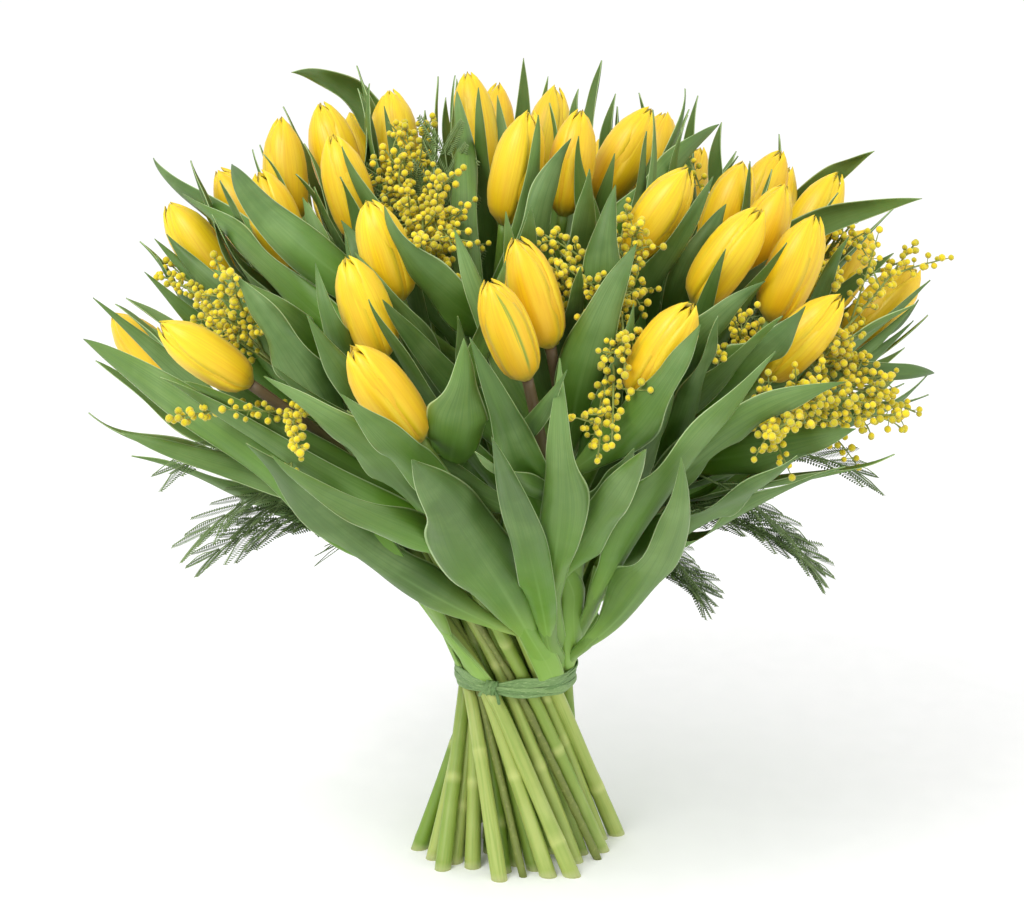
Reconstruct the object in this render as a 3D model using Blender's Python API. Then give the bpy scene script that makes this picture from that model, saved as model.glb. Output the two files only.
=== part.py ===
"""A spiral hand-tied bunch of yellow tulips and mimosa, standing on its cut stems.

Metres, +Z up. The origin is the cut end of the middle stem, and the front faces -Y.
The blooms lie on a dome round the tie. Their stems run down through the tie in one
spiral, and each leaf, twig and frond is set where it is clear of all that is there.
"""

import math
import random

import bmesh
import bpy
import numpy as np
from mathutils.bvhtree import BVHTree

MM = 0.001
GAP = 0.35 * MM
SLIVERS = (0.04 * MM, 0.028 * MM, 0.012 * MM)

# The bundle: where it is tied, and the spread of the cut ends below
TIE_HEIGHT = 97 * MM
BUNDLE_RADIUS = 33 * MM
FOOT_CIRCLE = 67 * MM
SPIRAL = math.sqrt((FOOT_CIRCLE / BUNDLE_RADIUS) ** 2 - 1) / TIE_HEIGHT
SPIRAL_TURN = math.radians(67)
TIE = np.array([0, 0, TIE_HEIGHT])

# The dome of blooms, measured from the tie, and the line of the leaves below it
DOME_REACH = 258 * MM
DOME_CROWN = 35 * MM
SKIRT_ANGLE = math.radians(52)
SKIRT_FLARE = 25 * MM

# Stems
STEM_RADII = np.array([4.4, 3.7, 3.4, 3.0, 2.7]) * MM
SPRIG_RADII = np.array([2.3, 2.1, 1.7, 1.3, 0.9]) * MM
STEM_SIDES = 5
PRESSED = 0.8
WEDGES = 7
CORE_STEMS = 6

# Blooms
TULIPS = 45
BLOOM_LENGTH = 56 * MM
BLOOM_RADIUS = 13.6 * MM
BLOOM_FOCUS = 20 * MM
BLOOM_NOD = 0.42

# Leaves
BLADE = 0.8 * MM
LEAF_WAVE = 4 * MM
LEAF_CURL = (1.25, 0.55)
LEAF_ROOT = 0.2
LEAF_WIDEST = 0.37
LEAF_SCALES = (1, 0.8, 0.62)
LEAF_LIFTS = (0, 8, -8, 16, -16, 26, -26, 38, 50)
LEAVES_ON_STEM = 4
ROOTS_APART = 11 * MM
HERO_LEAVES = 15

# Mimosa
BALL_RADIUS = 2.7 * MM
BALLS_ON_TWIG = 4
BALL_INTO_TWIG = 0.8 * MM
BALL_ON_SIDE = 0.1 * MM
TWIG_LIFTS = (0, 6, -6, 12, -12, 18, -18)
FROND_LIFTS = (0, 6, -6, 14, -14, 22, -22)
TWIG_RADIUS = 0.75 * MM
FROND_PAIRS = 5
FROND_WIDTH = 13 * MM
FROND_RIB = 0.9 * MM

# Raffia tie
TIE_WIDTH = 9 * MM
TIE_THICK = 1.5 * MM
TIE_SIDES = 20
STRAND = (2.6 * MM, 1.3 * MM)
STRAND_RISE = 3.2 * MM
TAIL = (2.2 * MM, 0.9 * MM)
KNOT_SIDE = np.array([-17.5, -28.0])

# The view that the places below were read from, in pixels
AXIS_PIXEL = (518, 458)
PIXEL = 0.53 * MM
VIEW_CENTRE = np.array([0, 0, 215]) * MM
VIEW_TILT = math.radians(13)
VIEW_DISTANCE = 1.5
RIGHT = np.array([1.0, 0, 0])
LOOK = np.array([0, math.cos(VIEW_TILT), -math.sin(VIEW_TILT)])
ABOVE = np.array([0, math.sin(VIEW_TILT), math.cos(VIEW_TILT)])
EYE = VIEW_CENTRE - LOOK * VIEW_DISTANCE

# Blooms seen: centre in pixels, lean to the right in degrees, and 1 behind the crest
BLOOMS_SEEN = (
    (205, 354, -56, 0), (148, 352, -43, 1), (210, 239, -35, 0), (244, 215, -30, 1),
    (276, 222, -19, 0), (305, 171, -5, 1), (327, 154, -15, 1), (348, 188, -16, 0),
    (371, 145, -5, 1), (384, 250, -18, 0), (365, 307, -21, 0), (386, 394, -36, 0),
    (475, 126, -8, 1), (499, 135, 5, 1), (518, 167, 13, 0), (542, 137, 10, 1),
    (571, 162, 10, 0), (531, 294, -18, 0), (510, 328, -22, 0), (625, 154, 30, 0),
    (656, 158, 12, 1), (659, 213, 34, 0), (684, 192, 20, 1), (737, 213, 20, 0),
    (729, 256, 35, 0), (769, 200, 25, 1), (760, 237, 24, 0), (782, 264, 23, 0),
    (803, 215, 30, 1), (882, 307, 42, 0), (803, 337, 43, 0), (663, 350, 32, 0),
)

# Large leaves seen: tip, middle and start in pixels, and half the width in mm
LEAVES_SEEN = (
    ((85, 339), (250, 440), (440, 625), 15),
    ((262, 440), (340, 540), (445, 640), 15),
    ((410, 458), (470, 530), (560, 655), 22),
    ((783, 354), (680, 450), (600, 640), 15),
    ((260, 378), (365, 440), (450, 600), 13),
    ((660, 480), (635, 570), (590, 648), 14),
    ((800, 462), (720, 510), (620, 600), 12),
    ((843, 378), (735, 415), (640, 570), 13),
    ((553, 361), (563, 460), (580, 640), 13),
    ((492, 443), (527, 540), (568, 645), 11),
    ((469, 335), (510, 430), (560, 600), 13),
    ((648, 447), (605, 510), (583, 600), 12),
    ((637, 244), (585, 330), (565, 430), 14),
    ((340, 395), (395, 445), (440, 500), 11),
    ((470, 345), (460, 420), (500, 520), 17),
    ((140, 162), (230, 225), (320, 330), 11),
    ((187, 192), (260, 265), (350, 380), 11),
    ((233, 274), (290, 350), (350, 430), 13),
    ((813, 308), (750, 360), (690, 420), 13),
    ((258, 186), (290, 260), (345, 350), 12),
    ((378, 205), (415, 290), (450, 380), 12),
    ((947, 376), (890, 365), (760, 430), 8),
    ((700, 323), (660, 400), (635, 450), 12),
    ((616, 185), (590, 270), (565, 330), 12),
    ((573, 138), (530, 200), (480, 300), 11),
    ((454, 86), (472, 170), (485, 300), 9),
    ((455, 224), (470, 280), (480, 340), 9),
    ((714, 124), (660, 180), (600, 260), 11),
    ((734, 195), (705, 240), (670, 320), 11),
    ((798, 239), (765, 280), (720, 350), 12),
    ((306, 316), (340, 370), (400, 450), 11),
    ((298, 192), (315, 250), (360, 340), 11),
    ((335, 208), (355, 240), (385, 320), 11),
    ((215, 272), (270, 300), (330, 370), 12),
    ((342, 244), (400, 300), (440, 400), 9),
    ((760, 279), (715, 320), (680, 380), 11),
    ((647, 294), (632, 370), (630, 440), 8),
    ((323, 269), (340, 320), (375, 400), 8),
)

# Other leaf tips seen, in pixels
TIPS_SEEN = (
    (524, 51), (444, 79), (498, 93), (574, 78), (612, 83), (651, 92), (696, 92),
    (359, 91), (251, 135), (774, 155), (831, 192), (887, 209), (892, 253), (720, 125),
    (202, 177), (149, 264), (107, 294), (176, 244), (321, 128), (380, 102), (421, 107),
    (474, 93), (559, 104), (623, 96), (642, 140), (752, 128), (747, 223), (848, 223),
    (532, 215), (507, 221), (458, 310), (401, 164), (666, 252), (710, 276), (594, 174),
    (284, 181), (783, 217), (238, 170),
)

# How far those three places lie outside the bunch's outline
SEEN_LIFTS = (10 * MM, 4 * MM, -8 * MM)

# Large leaves whose like stand on the far side, turned half round, and the turn of each
FAR_LEAVES = (0, 1, 2, 3, 4, 5, 6, 8, 9, 12, 14, 15, 16, 18, 20, 24, 27)
FAR_TURN = math.radians(180)

# Leaves set by rule at the two sides, where the photo shows no faces
SIDE_LEAVES = 8
SIDE_FAN = 30

# Mimosa: top of each stem, then twig ends and frond tips, all in pixels
SPRIGS = (
    ("left", (245, 330), ((215, 258), (250, 300), (190, 300), (168, 262), (300, 452), (172, 418)),
     ((188, 462), (208, 530), (250, 520))),
    ("upper_left", (425, 210), ((385, 150), (405, 125), (440, 180), (420, 250)),
     ((400, 160), (445, 150))),
    ("middle", (615, 290), ((640, 225), (600, 240), (555, 265), (625, 340), (600, 450)),
     ((590, 420),)),
    ("right", (800, 380), ((842, 338), (887, 376), (852, 398), (742, 338), (772, 436), (902, 414)),
     ((848, 468), (806, 558), (690, 580))),
    ("upper_right", (820, 250), ((855, 220), (905, 262), (835, 285), (715, 185), (690, 135)),
     ((790, 300),)),
    ("far", (800, 380), ((845, 335), (885, 380), (850, 400), (740, 335), (905, 412)),
     ((848, 470), (808, 560))),
)


def unit(vectors):
    return vectors / np.linalg.norm(vectors, axis=-1, keepdims=True)


def turned(points, angle):
    """Points turned about the bunch's upright axis."""
    c, s = math.cos(angle), math.sin(angle)
    return np.asarray(points) @ np.array([[c, s, 0], [-s, c, 0], [0, 0, 1]])


def bezier(curve, s):
    a, b, c, d = curve
    return a * (1 - s) ** 3 + 3 * b * s * (1 - s) ** 2 + 3 * c * s * s * (1 - s) + d * s ** 3


def outside(points, lift):
    """How far points lie outside the bunch's outline raised by lift; negative inside."""
    offset = points - TIE
    reach = np.linalg.norm(offset, axis=-1)
    lean = np.arccos(np.clip(offset[..., 2] / reach, -1, 1))
    crown = DOME_REACH + DOME_CROWN * np.cos(lean) ** 2 + lift
    flare = np.exp(-(reach - BUNDLE_RADIUS) / SKIRT_FLARE)
    skirt = SKIRT_ANGLE + (math.pi / 2 - SKIRT_ANGLE) * flare
    return np.maximum(reach - crown, (lean - skirt) * reach - lift)


def seen_at(pixel, lift=0.0, far=False):
    """The place on the outline, near or far side, that is seen at a pixel."""
    across = (pixel[0] - AXIS_PIXEL[0]) * PIXEL
    up = (AXIS_PIXEL[1] - pixel[1]) * PIXEL
    ray = unit(VIEW_CENTRE + RIGHT * across + ABOVE * up - EYE)
    points = EYE + ray * (VIEW_DISTANCE + np.arange(-0.4, 0.4, MM))[:, None]
    depth = outside(points, lift)
    inside = np.flatnonzero(depth < 0)
    if not len(inside):
        return points[np.argmin(depth)]
    return points[inside[-1 if far else 0]]


def frame_round(axis, spin):
    """Two directions square to an axis, turned round it by spin."""
    side = unit(np.cross(axis, [0.31, 0.87, 0.38]))
    other = np.cross(axis, side)
    return math.cos(spin) * side + math.sin(spin) * other, math.cos(spin) * other - math.sin(spin) * side


# Blooms


def bloom_places():
    """Centres and axes of the seen blooms, then of those on the far side."""
    centres = [seen_at(row[:2], 0, bool(row[3])) for row in BLOOMS_SEEN]
    leans = [math.radians(row[2]) for row in BLOOMS_SEEN]
    golden = math.pi * (3 - math.sqrt(5))
    spots = []
    for k in range(240):
        rise = 1 - (k + 0.5) / 240 * (1 - math.cos(SKIRT_ANGLE - math.radians(5)))
        out = math.sqrt(1 - rise * rise)
        ray = np.array([out * math.cos(golden * k), out * math.sin(golden * k), rise])
        spots.append(TIE + ray * (DOME_REACH + DOME_CROWN * rise * rise))
    spots = np.array([spot for spot in spots if spot[1] > 20 * MM])
    while len(centres) < TULIPS:
        apart = np.linalg.norm(spots[:, None] - np.array(centres)[None], axis=-1).min(1)
        centres.append(spots[np.argmax(apart)])
    centres = np.array(centres)
    axes = unit(centres - TIE - np.array([0, 0, BLOOM_FOCUS]))
    for k, lean in enumerate(leans):
        depth = axes[k] @ LOOK * BLOOM_NOD
        flat = math.sqrt(1 - depth * depth)
        axes[k] = flat * (math.sin(lean) * RIGHT + math.cos(lean) * ABOVE) + depth * LOOK
    axes[len(leans):] = unit(axes[len(leans):] + np.array([0, 0, 0.35]))
    return centres, axes


def nearest_pairs(a0, a1, b0, b1):
    """Places s and t along segments a and b where they come nearest, row by row."""
    u, v, w = a1 - a0, b1 - b0, a0 - b0
    uu, uv, vv = (u * u).sum(1), (u * v).sum(1), (v * v).sum(1)
    uw, vw = (u * w).sum(1), (v * w).sum(1)
    spread = uu * vv - uv * uv
    s = np.where(spread > 1e-14, (uv * vw - vv * uw) / np.maximum(spread, 1e-14), 0.5).clip(0, 1)
    t = ((uv * s + vw) / vv).clip(0, 1)
    return ((uv * t - uw) / uu).clip(0, 1), t


def spread_blooms(centres, axes, lengths, radii):
    """Moves blooms that touch, mostly along the line of sight."""
    one, two = np.triu_indices(len(centres), 1)
    for _ in range(150):
        reach = axes * (lengths / 2 - radii * 0.8)[:, None]
        s, t = nearest_pairs((centres - reach)[one], (centres + reach)[one],
                             (centres - reach)[two], (centres + reach)[two])
        from_one = centres[one] + reach[one] * (2 * s - 1)[:, None]
        from_two = centres[two] + reach[two] * (2 * t - 1)[:, None]
        apart = from_two - from_one
        distance = np.linalg.norm(apart, axis=1)
        lack = (radii[one] + radii[two]) * 1.04 + GAP - distance
        push = apart / distance[:, None] * np.maximum(lack, 0)[:, None] * 0.3
        sight = (push @ LOOK)[:, None] * LOOK
        push = sight + (push - sight) * 0.35
        np.add.at(centres, one, -push)
        np.add.at(centres, two, push)
    return centres


# Stems


def waist_tilt(places):
    return np.stack([SPIRAL * places[:, 1], -SPIRAL * places[:, 0], np.ones(len(places))], axis=1)


def group_stems(places, count):
    """The middle stems, then wedges round them, then each mimosa stem on its own."""
    order = np.argsort(np.linalg.norm(places[:count], axis=1), kind="stable")
    groups = np.zeros(len(places), int)
    outer = order[CORE_STEMS:]
    around = np.arctan2(places[outer, 1], places[outer, 0])
    ranked = outer[np.argsort(around, kind="stable")]
    groups[ranked] = 1 + np.arange(len(ranked)) * WEDGES // len(ranked)
    groups[count:] = 1 + WEDGES + np.arange(len(places) - count)
    return groups


def chain_links(places, groups):
    """The pairs that join each group's stems by the shortest steps."""
    links = []
    for group in range(1 + WEDGES):
        members = list(np.flatnonzero(groups == group))
        joined = [members.pop(0)]
        while members:
            steps = [(np.linalg.norm(places[a] - places[b]), a, b) for a in joined for b in members]
            _, a, b = min(steps)
            links.append((a, b))
            joined.append(b)
            members.remove(b)
    return np.array(links)


def pack_waist(places, radii, groups, middle):
    """Presses the stems together at the tie: groups just clear, a group's own stems fused."""
    one, two = np.triu_indices(len(places), 1)
    same = groups[one] == groups[two]
    need = radii[one] + radii[two] + 0.1 * MM
    links = None
    for step in range(900):
        if step == 200:
            links = chain_links(places, groups)
            linked = {frozenset(link) for link in links.tolist()}
            chained = np.array([frozenset(pair) in linked for pair in zip(one.tolist(), two.tolist())])
            need = np.where(chained, PRESSED * (radii[one] + radii[two]), need)
        if (np.linalg.norm(places, axis=1) + radii).max() > BUNDLE_RADIUS:
            places = places * 0.9985
        centre = (places[one] + places[two]) / 2 + 1e-7
        out = np.linalg.norm(centre, axis=1)
        radial = centre / out[:, None]
        apart = places[two] - places[one]
        along = (apart * radial).sum(1)
        across = (radial[:, 0] * apart[:, 1] - radial[:, 1] * apart[:, 0]) / np.sqrt(1 + (SPIRAL * out) ** 2)
        distance = np.hypot(along, across) + 1e-9
        lack = np.maximum(need - distance, 0)
        push = apart / distance[:, None] * lack[:, None] * 0.3
        move = np.zeros_like(places)
        np.add.at(move, one, -push)
        np.add.at(move, two, push)
        if links is not None:
            a, b = links.T
            gap = places[b] - places[a]
            length = np.linalg.norm(gap, axis=1)
            excess = np.maximum(length - PRESSED * (radii[a] + radii[b]), 0)
            pull = gap / length[:, None] * excess[:, None] * 0.35
            np.add.at(move, a, pull)
            np.add.at(move, b, -pull)
        places = places + move
        places = places - places[middle]
    return places


def stem_paths(waists, tops, axes, shortfalls):
    """Five points a stem: cut end, tie, two between and the top."""
    slopes = waist_tilt(waists)
    tie_points = np.column_stack([waists, np.full(len(waists), TIE_HEIGHT)])
    feet = tie_points - slopes * (TIE_HEIGHT - shortfalls)[:, None]
    reach = np.linalg.norm(tops - tie_points, axis=1)[:, None]
    curve = (tie_points, tie_points + unit(slopes) * reach * 0.38, tops - axes * reach * 0.3, tops)
    return np.stack([feet, tie_points, bezier(curve, 0.36), bezier(curve, 0.7), tops], axis=1)


def bend_clear(paths, radii, groups, blooms):
    """Bends the stems' two free points until they pass each other and the blooms."""
    count = len(paths)
    home = paths.copy()
    starts = np.concatenate([paths[:, j] for j in range(4)] + [blooms[0]])
    stem = np.concatenate([np.arange(count)] * 4 + [np.arange(len(blooms[0]))])
    joint = np.repeat(np.arange(5), [count] * 4 + [len(blooms[0])])
    one, two = np.triu_indices(len(starts), 1)
    keep = (stem[one] != stem[two]) & ((joint[one] < 4) | (joint[two] < 4)) & (joint[one] + joint[two] > 0)
    one, two = one[keep], two[keep]
    same = (groups[stem[one]] == groups[stem[two]]) & (joint[one] < 4) & (joint[two] < 4)
    for step in range(260):
        starts = np.concatenate([paths[:, j] for j in range(4)] + [blooms[0]])
        ends = np.concatenate([paths[:, j + 1] for j in range(4)] + [blooms[1]])
        thick0 = np.concatenate([radii[:, j] for j in range(4)] + [blooms[2]])
        thick1 = np.concatenate([radii[:, j + 1] for j in range(4)] + [blooms[2]])
        s, t = nearest_pairs(starts[one], ends[one], starts[two], ends[two])
        s, t = s[:, None], t[:, None]
        apart = starts[two] + (ends - starts)[two] * t - starts[one] - (ends - starts)[one] * s
        distance = np.linalg.norm(apart, axis=1) + 1e-9
        need = thick0[one] + (thick1 - thick0)[one] * s[:, 0] + thick0[two] + (thick1 - thick0)[two] * t[:, 0]
        need = np.where(same, 0.85 * need, need + 2 * GAP)
        lack = np.maximum(need - distance, 0)
        push = apart / distance[:, None] * lack[:, None] * 0.4
        move = np.zeros_like(paths)
        for which, place, sign in ((one, s, -1), (two, t, 1)):
            for point, share in ((0, 1 - place), (1, place)):
                at = joint[which] + point
                free = (joint[which] < 4) & ((at == 2) | (at == 3) | ((at == 4) & (stem[which] >= TULIPS)))
                np.add.at(move, (stem[which][free], at[free]), sign * (push * share)[free])
        paths = paths + move
        if step < 160:
            paths = paths + (home - paths) * 0.01
    return paths


# Solids: a list of corner points and a list of faces


def loft(rings, mirrored=(), first=None, last=None):
    """Quads split in two between rings of points. Each end is a cap, a point or a short edge."""
    count, sides = rings.shape[:2]
    points = [tuple(p) for p in rings.reshape(-1, 3)]
    faces = []
    for i in range(count - 1):
        for j in range(sides):
            a, b = i * sides + j, i * sides + (j + 1) % sides
            c, d = b + sides, a + sides
            faces += [(a, b, d), (b, c, d)] if j in mirrored else [(a, b, c), (a, c, d)]
    faces += end_faces(points, list(range(sides)), first)
    final = list(range((count - 1) * sides, count * sides))
    faces += [face[::-1] for face in end_faces(points, final, last)]
    return outward(points, faces)


def end_faces(points, ring, end):
    """Faces that close a ring by a cap, or by the one or two points of its end."""
    if end is None:
        return cap(ring)
    tips = [len(points) + k for k in range(len(end))]
    points += [tuple(p) for p in end]
    sides = len(ring)
    half = sides // 2
    faces = []
    for j in range(sides):
        a, b = ring[j], ring[(j + 1) % sides]
        if len(tips) == 2 and j in (half - 1, sides - 1):
            here, there = tips if j == half - 1 else tips[::-1]
            faces += [(b, a, there), (there, a, here)]
        else:
            faces.append((b, a, tips[0] if j < half or len(tips) == 1 else tips[1]))
    return faces


def cap(ring):
    """Fills a ring across itself, pair by pair."""
    ring = list(ring)
    faces = []
    while len(ring) > 3:
        a, b, c, d = ring[0], ring[1], ring[-2], ring[-1]
        faces += [(d, b, a), (d, c, b)]
        ring = ring[1:-1]
    if len(ring) == 3:
        faces.append((ring[2], ring[1], ring[0]))
    return faces


def outward(points, faces):
    """The same solid with its faces pointing out."""
    corners = np.array(points)[np.array(faces)]
    corners = corners - corners.mean((0, 1))
    if np.linalg.det(corners).sum() < 0:
        faces = [face[::-1] for face in faces]
    return points, faces


def tube(path, radii, sides, level=False):
    """A round bar along a path; level cuts its first end flat and horizontal."""
    steps = unit(np.diff(path, axis=0))
    along = unit(np.vstack([steps[:1], steps[:-1] + steps[1:], steps[-1:]]))
    side = unit(np.cross(along, [0.13, 0.99, 0.07]))
    other = np.cross(along, side)
    turn = np.linspace(0, 2 * math.pi, sides, endpoint=False)
    ring = side[:, None] * np.cos(turn)[:, None] + other[:, None] * np.sin(turn)[:, None]
    rings = path[:, None] + ring * np.asarray(radii)[:, None, None]
    if level:
        drop = rings[0, :, 2] - path[0, 2]
        rings[0] -= along[0] * (drop / along[0, 2])[:, None]
    return loft(rings)


# Columns of points round a third of a bloom: degrees, width, height and width at the tip
OUTER_TEPAL = ((-33, 1.0, 0.91, 0.45), (0, 1.03, 1.0, 0.22), (33, 1.0, 0.91, 0.45))
INNER_TEPAL = ((36, 0.90, 0.90, 0.38), (60, 0.93, 0.93, 0.26), (84, 0.90, 0.90, 0.38))
BLOOM_FOOT = ((-16, 0.87), (34, 0.84), (72, 0.8))


def bloom_solid(base, axis, length, radius, spin, opening):
    """Three outer tepals over three inner ones, closed to a bud, with a shallow mouth."""
    across, other = frame_round(axis, spin)
    low, high, tips = [], [], []
    for third in range(3):
        for angle, wide, rise, close in OUTER_TEPAL + INNER_TEPAL:
            ray = turned_ray(across, other, angle + 120 * third)
            close = close + opening * (0.9 if angle in (0, 60) else 0.55)
            high.append(base + axis * length * 0.56 + ray * radius * wide)
            tips.append(base + axis * length * rise + ray * radius * close)
        for angle, wide in BLOOM_FOOT:
            ray = turned_ray(across, other, angle + 120 * third)
            low.append(base + axis * length * 0.17 + ray * radius * wide)
    points = high + tips + low + [base, base + axis * length * (0.78 - 0.2 * opening)]
    faces = []
    for j in range(18):
        a, b = j, (j + 1) % 18
        faces += [(a, b, b + 18), (a, b + 18, a + 18), (a + 18, b + 18, 46)]
    for j in range(9):
        a, b, c, d = 2 * j, 2 * j + 1, (2 * j + 2) % 18, 36 + (j + 1) % 9
        faces += [(36 + j, b, a), (36 + j, c, b), (36 + j, d, c), (36 + j, 45, d)]
    return fixed_winding([tuple(point) for point in points], faces)


def turned_ray(across, other, degrees):
    turn = math.radians(degrees)
    return math.cos(turn) * across + math.sin(turn) * other


def fixed_winding(points, faces):
    """Turns faces round so that neighbours agree, then points them out."""
    edges = {}
    for number, face in enumerate(faces):
        for a, b in zip(face, face[1:] + face[:1]):
            edges.setdefault(frozenset((a, b)), []).append(number)
    done = {0}
    queue = [0]
    while queue:
        number = queue.pop()
        face = faces[number]
        for a, b in zip(face, face[1:] + face[:1]):
            for other in edges[frozenset((a, b))]:
                if other in done:
                    continue
                near = faces[other]
                if (a, b) in zip(near, near[1:] + near[:1]):
                    faces[other] = near[::-1]
                done.add(other)
                queue.append(other)
    return outward(points, faces)


def leaf_outline(s):
    """Half width along a tulip leaf: a narrow root, widest at two fifths, a long point."""
    swell = LEAF_ROOT + (1 - LEAF_ROOT) * np.sin(math.pi / 2 * np.minimum(s / LEAF_WIDEST, 1)) ** 2
    taper = np.maximum(0, (s - LEAF_WIDEST) / (1 - LEAF_WIDEST))
    return swell * (1 - taper ** 1.5) * (1 - 0.15 * taper)


def leaf_solid(leaf, extra=0.0):
    """A thin channelled blade: arcs across it, waved at the edges, on a curved midline."""
    s = leaf["rows"][:, None]
    line = bezier(leaf["curve"], s)
    along = unit(np.gradient(line, axis=0))
    across = unit(np.cross(along, leaf["facing"]))
    normal = np.cross(across, along)
    angle = leaf["turn"] + leaf["twist"] * s
    across, normal = (across * np.cos(angle) + normal * np.sin(angle),
                      normal * np.cos(angle) - across * np.sin(angle))
    width = (leaf["width"] * leaf_outline(s))[..., None]
    curl = (LEAF_CURL[0] + (LEAF_CURL[1] - LEAF_CURL[0]) * s)[..., None]
    v = np.array([-1.0, 0, 1])[None, :, None]
    wave = leaf["wave"] * np.sin(2 * math.pi * leaf["waves"] * s + leaf["phase"]) * np.minimum(s * 4, 1)
    line, across, normal = line[:, None], across[:, None], normal[:, None]
    surface = line + across * width * np.sin(curl * v) / curl - normal * width * (1 - np.cos(curl * v)) / curl
    surface = surface + normal * wave[..., None] * v ** 2 * leaf_outline(s)[..., None]
    facing = normal * np.cos(curl * v / 2) + across * np.sin(curl * v / 2)
    half = BLADE / 2 + extra
    rings = np.concatenate([surface + facing * half, (surface - facing * half)[:, ::-1]], axis=1)
    return loft(rings[1:-1], mirrored=(3, 4), first=rings[0, [1, 4]], last=rings[-1, [1, 4]])


def frond_solid(curve, facing, extra=0.0, begin=0.0):
    """A feathery leaf: one thin arched blade cut to its rib between slanting leaflets."""
    ribs = np.append(begin, np.linspace(0.2, 0.94, FROND_PAIRS + 1))
    s = np.sort(np.concatenate([ribs, ribs[1:-1] + 0.75 * np.diff(ribs)[1:]]))[:, None]
    wide = (np.arange(len(s)) % 2 == 0) & (np.arange(len(s)) > 0)
    shape = np.sin(math.pi * np.clip(0.12 + 0.8 * s[:, 0], 0, 1)) ** 0.7
    half = np.where(wide, FROND_WIDTH * shape, FROND_RIB)[:, None, None]
    line = bezier(curve, s)
    along = unit(np.gradient(line, axis=0))
    across = unit(np.cross(along, facing))
    normal = np.cross(across, along)
    v = np.array([-1.0, 1])[None, :, None]
    slant = 0.03 * math.dist(curve[0], curve[3])
    reach = np.where(wide, slant, 0)[:, None, None]
    line, across, along, normal = (each[:, None] for each in (line, across, along, normal))
    thick = BLADE / 2 + extra
    surface = line + across * (half + extra) * v + along * reach - normal * half * 0.25
    rings = np.concatenate([surface + normal * thick, (surface - normal * thick)[:, ::-1]], axis=1)
    return loft(rings, mirrored=(2,))


def ball_solid(centre, radius, out):
    """A ball flower, one corner of it pointing back at its twig."""
    axes = (out, *frame_round(out, 0.4))
    points = [tuple(centre + radius * axes[k // 2] * (1 - 2 * (k % 2))) for k in range(6)]
    faces = [(x, y, z) for x in (0, 1) for y in (2, 3) for z in (4, 5)]
    return fixed_winding(points, faces)


class Placed:
    """All that is placed so far, to test whether something new is clear of it."""

    def __init__(self):
        self.low, self.high, self.trees, self.owners = [], [], [], []

    def add(self, solid, owner):
        points = np.array(solid[0])
        self.low.append(points.min(0))
        self.high.append(points.max(0))
        self.trees.append(BVHTree.FromPolygons(solid[0], solid[1]))
        self.owners.append(owner)

    def clear(self, solid, owner=None):
        points = np.array(solid[0])
        near = (np.array(self.low) < points.max(0)).all(1) & (np.array(self.high) > points.min(0)).all(1)
        tree = None
        for k in np.flatnonzero(near):
            if owner is not None and self.owners[k] == owner:
                continue
            tree = tree or BVHTree.FromPolygons(solid[0], solid[1])
            if tree.overlap(self.trees[k]):
                return False
        return True


def stem_point(path, height):
    """A point on a stem at a height, with the stem's direction there."""
    heights = path[:, 2]
    k = int(np.clip(np.searchsorted(heights, height) - 1, 0, len(path) - 2))
    share = (height - heights[k]) / (heights[k + 1] - heights[k])
    return path[k] + (path[k + 1] - path[k]) * share, unit(path[k + 1] - path[k])


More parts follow.
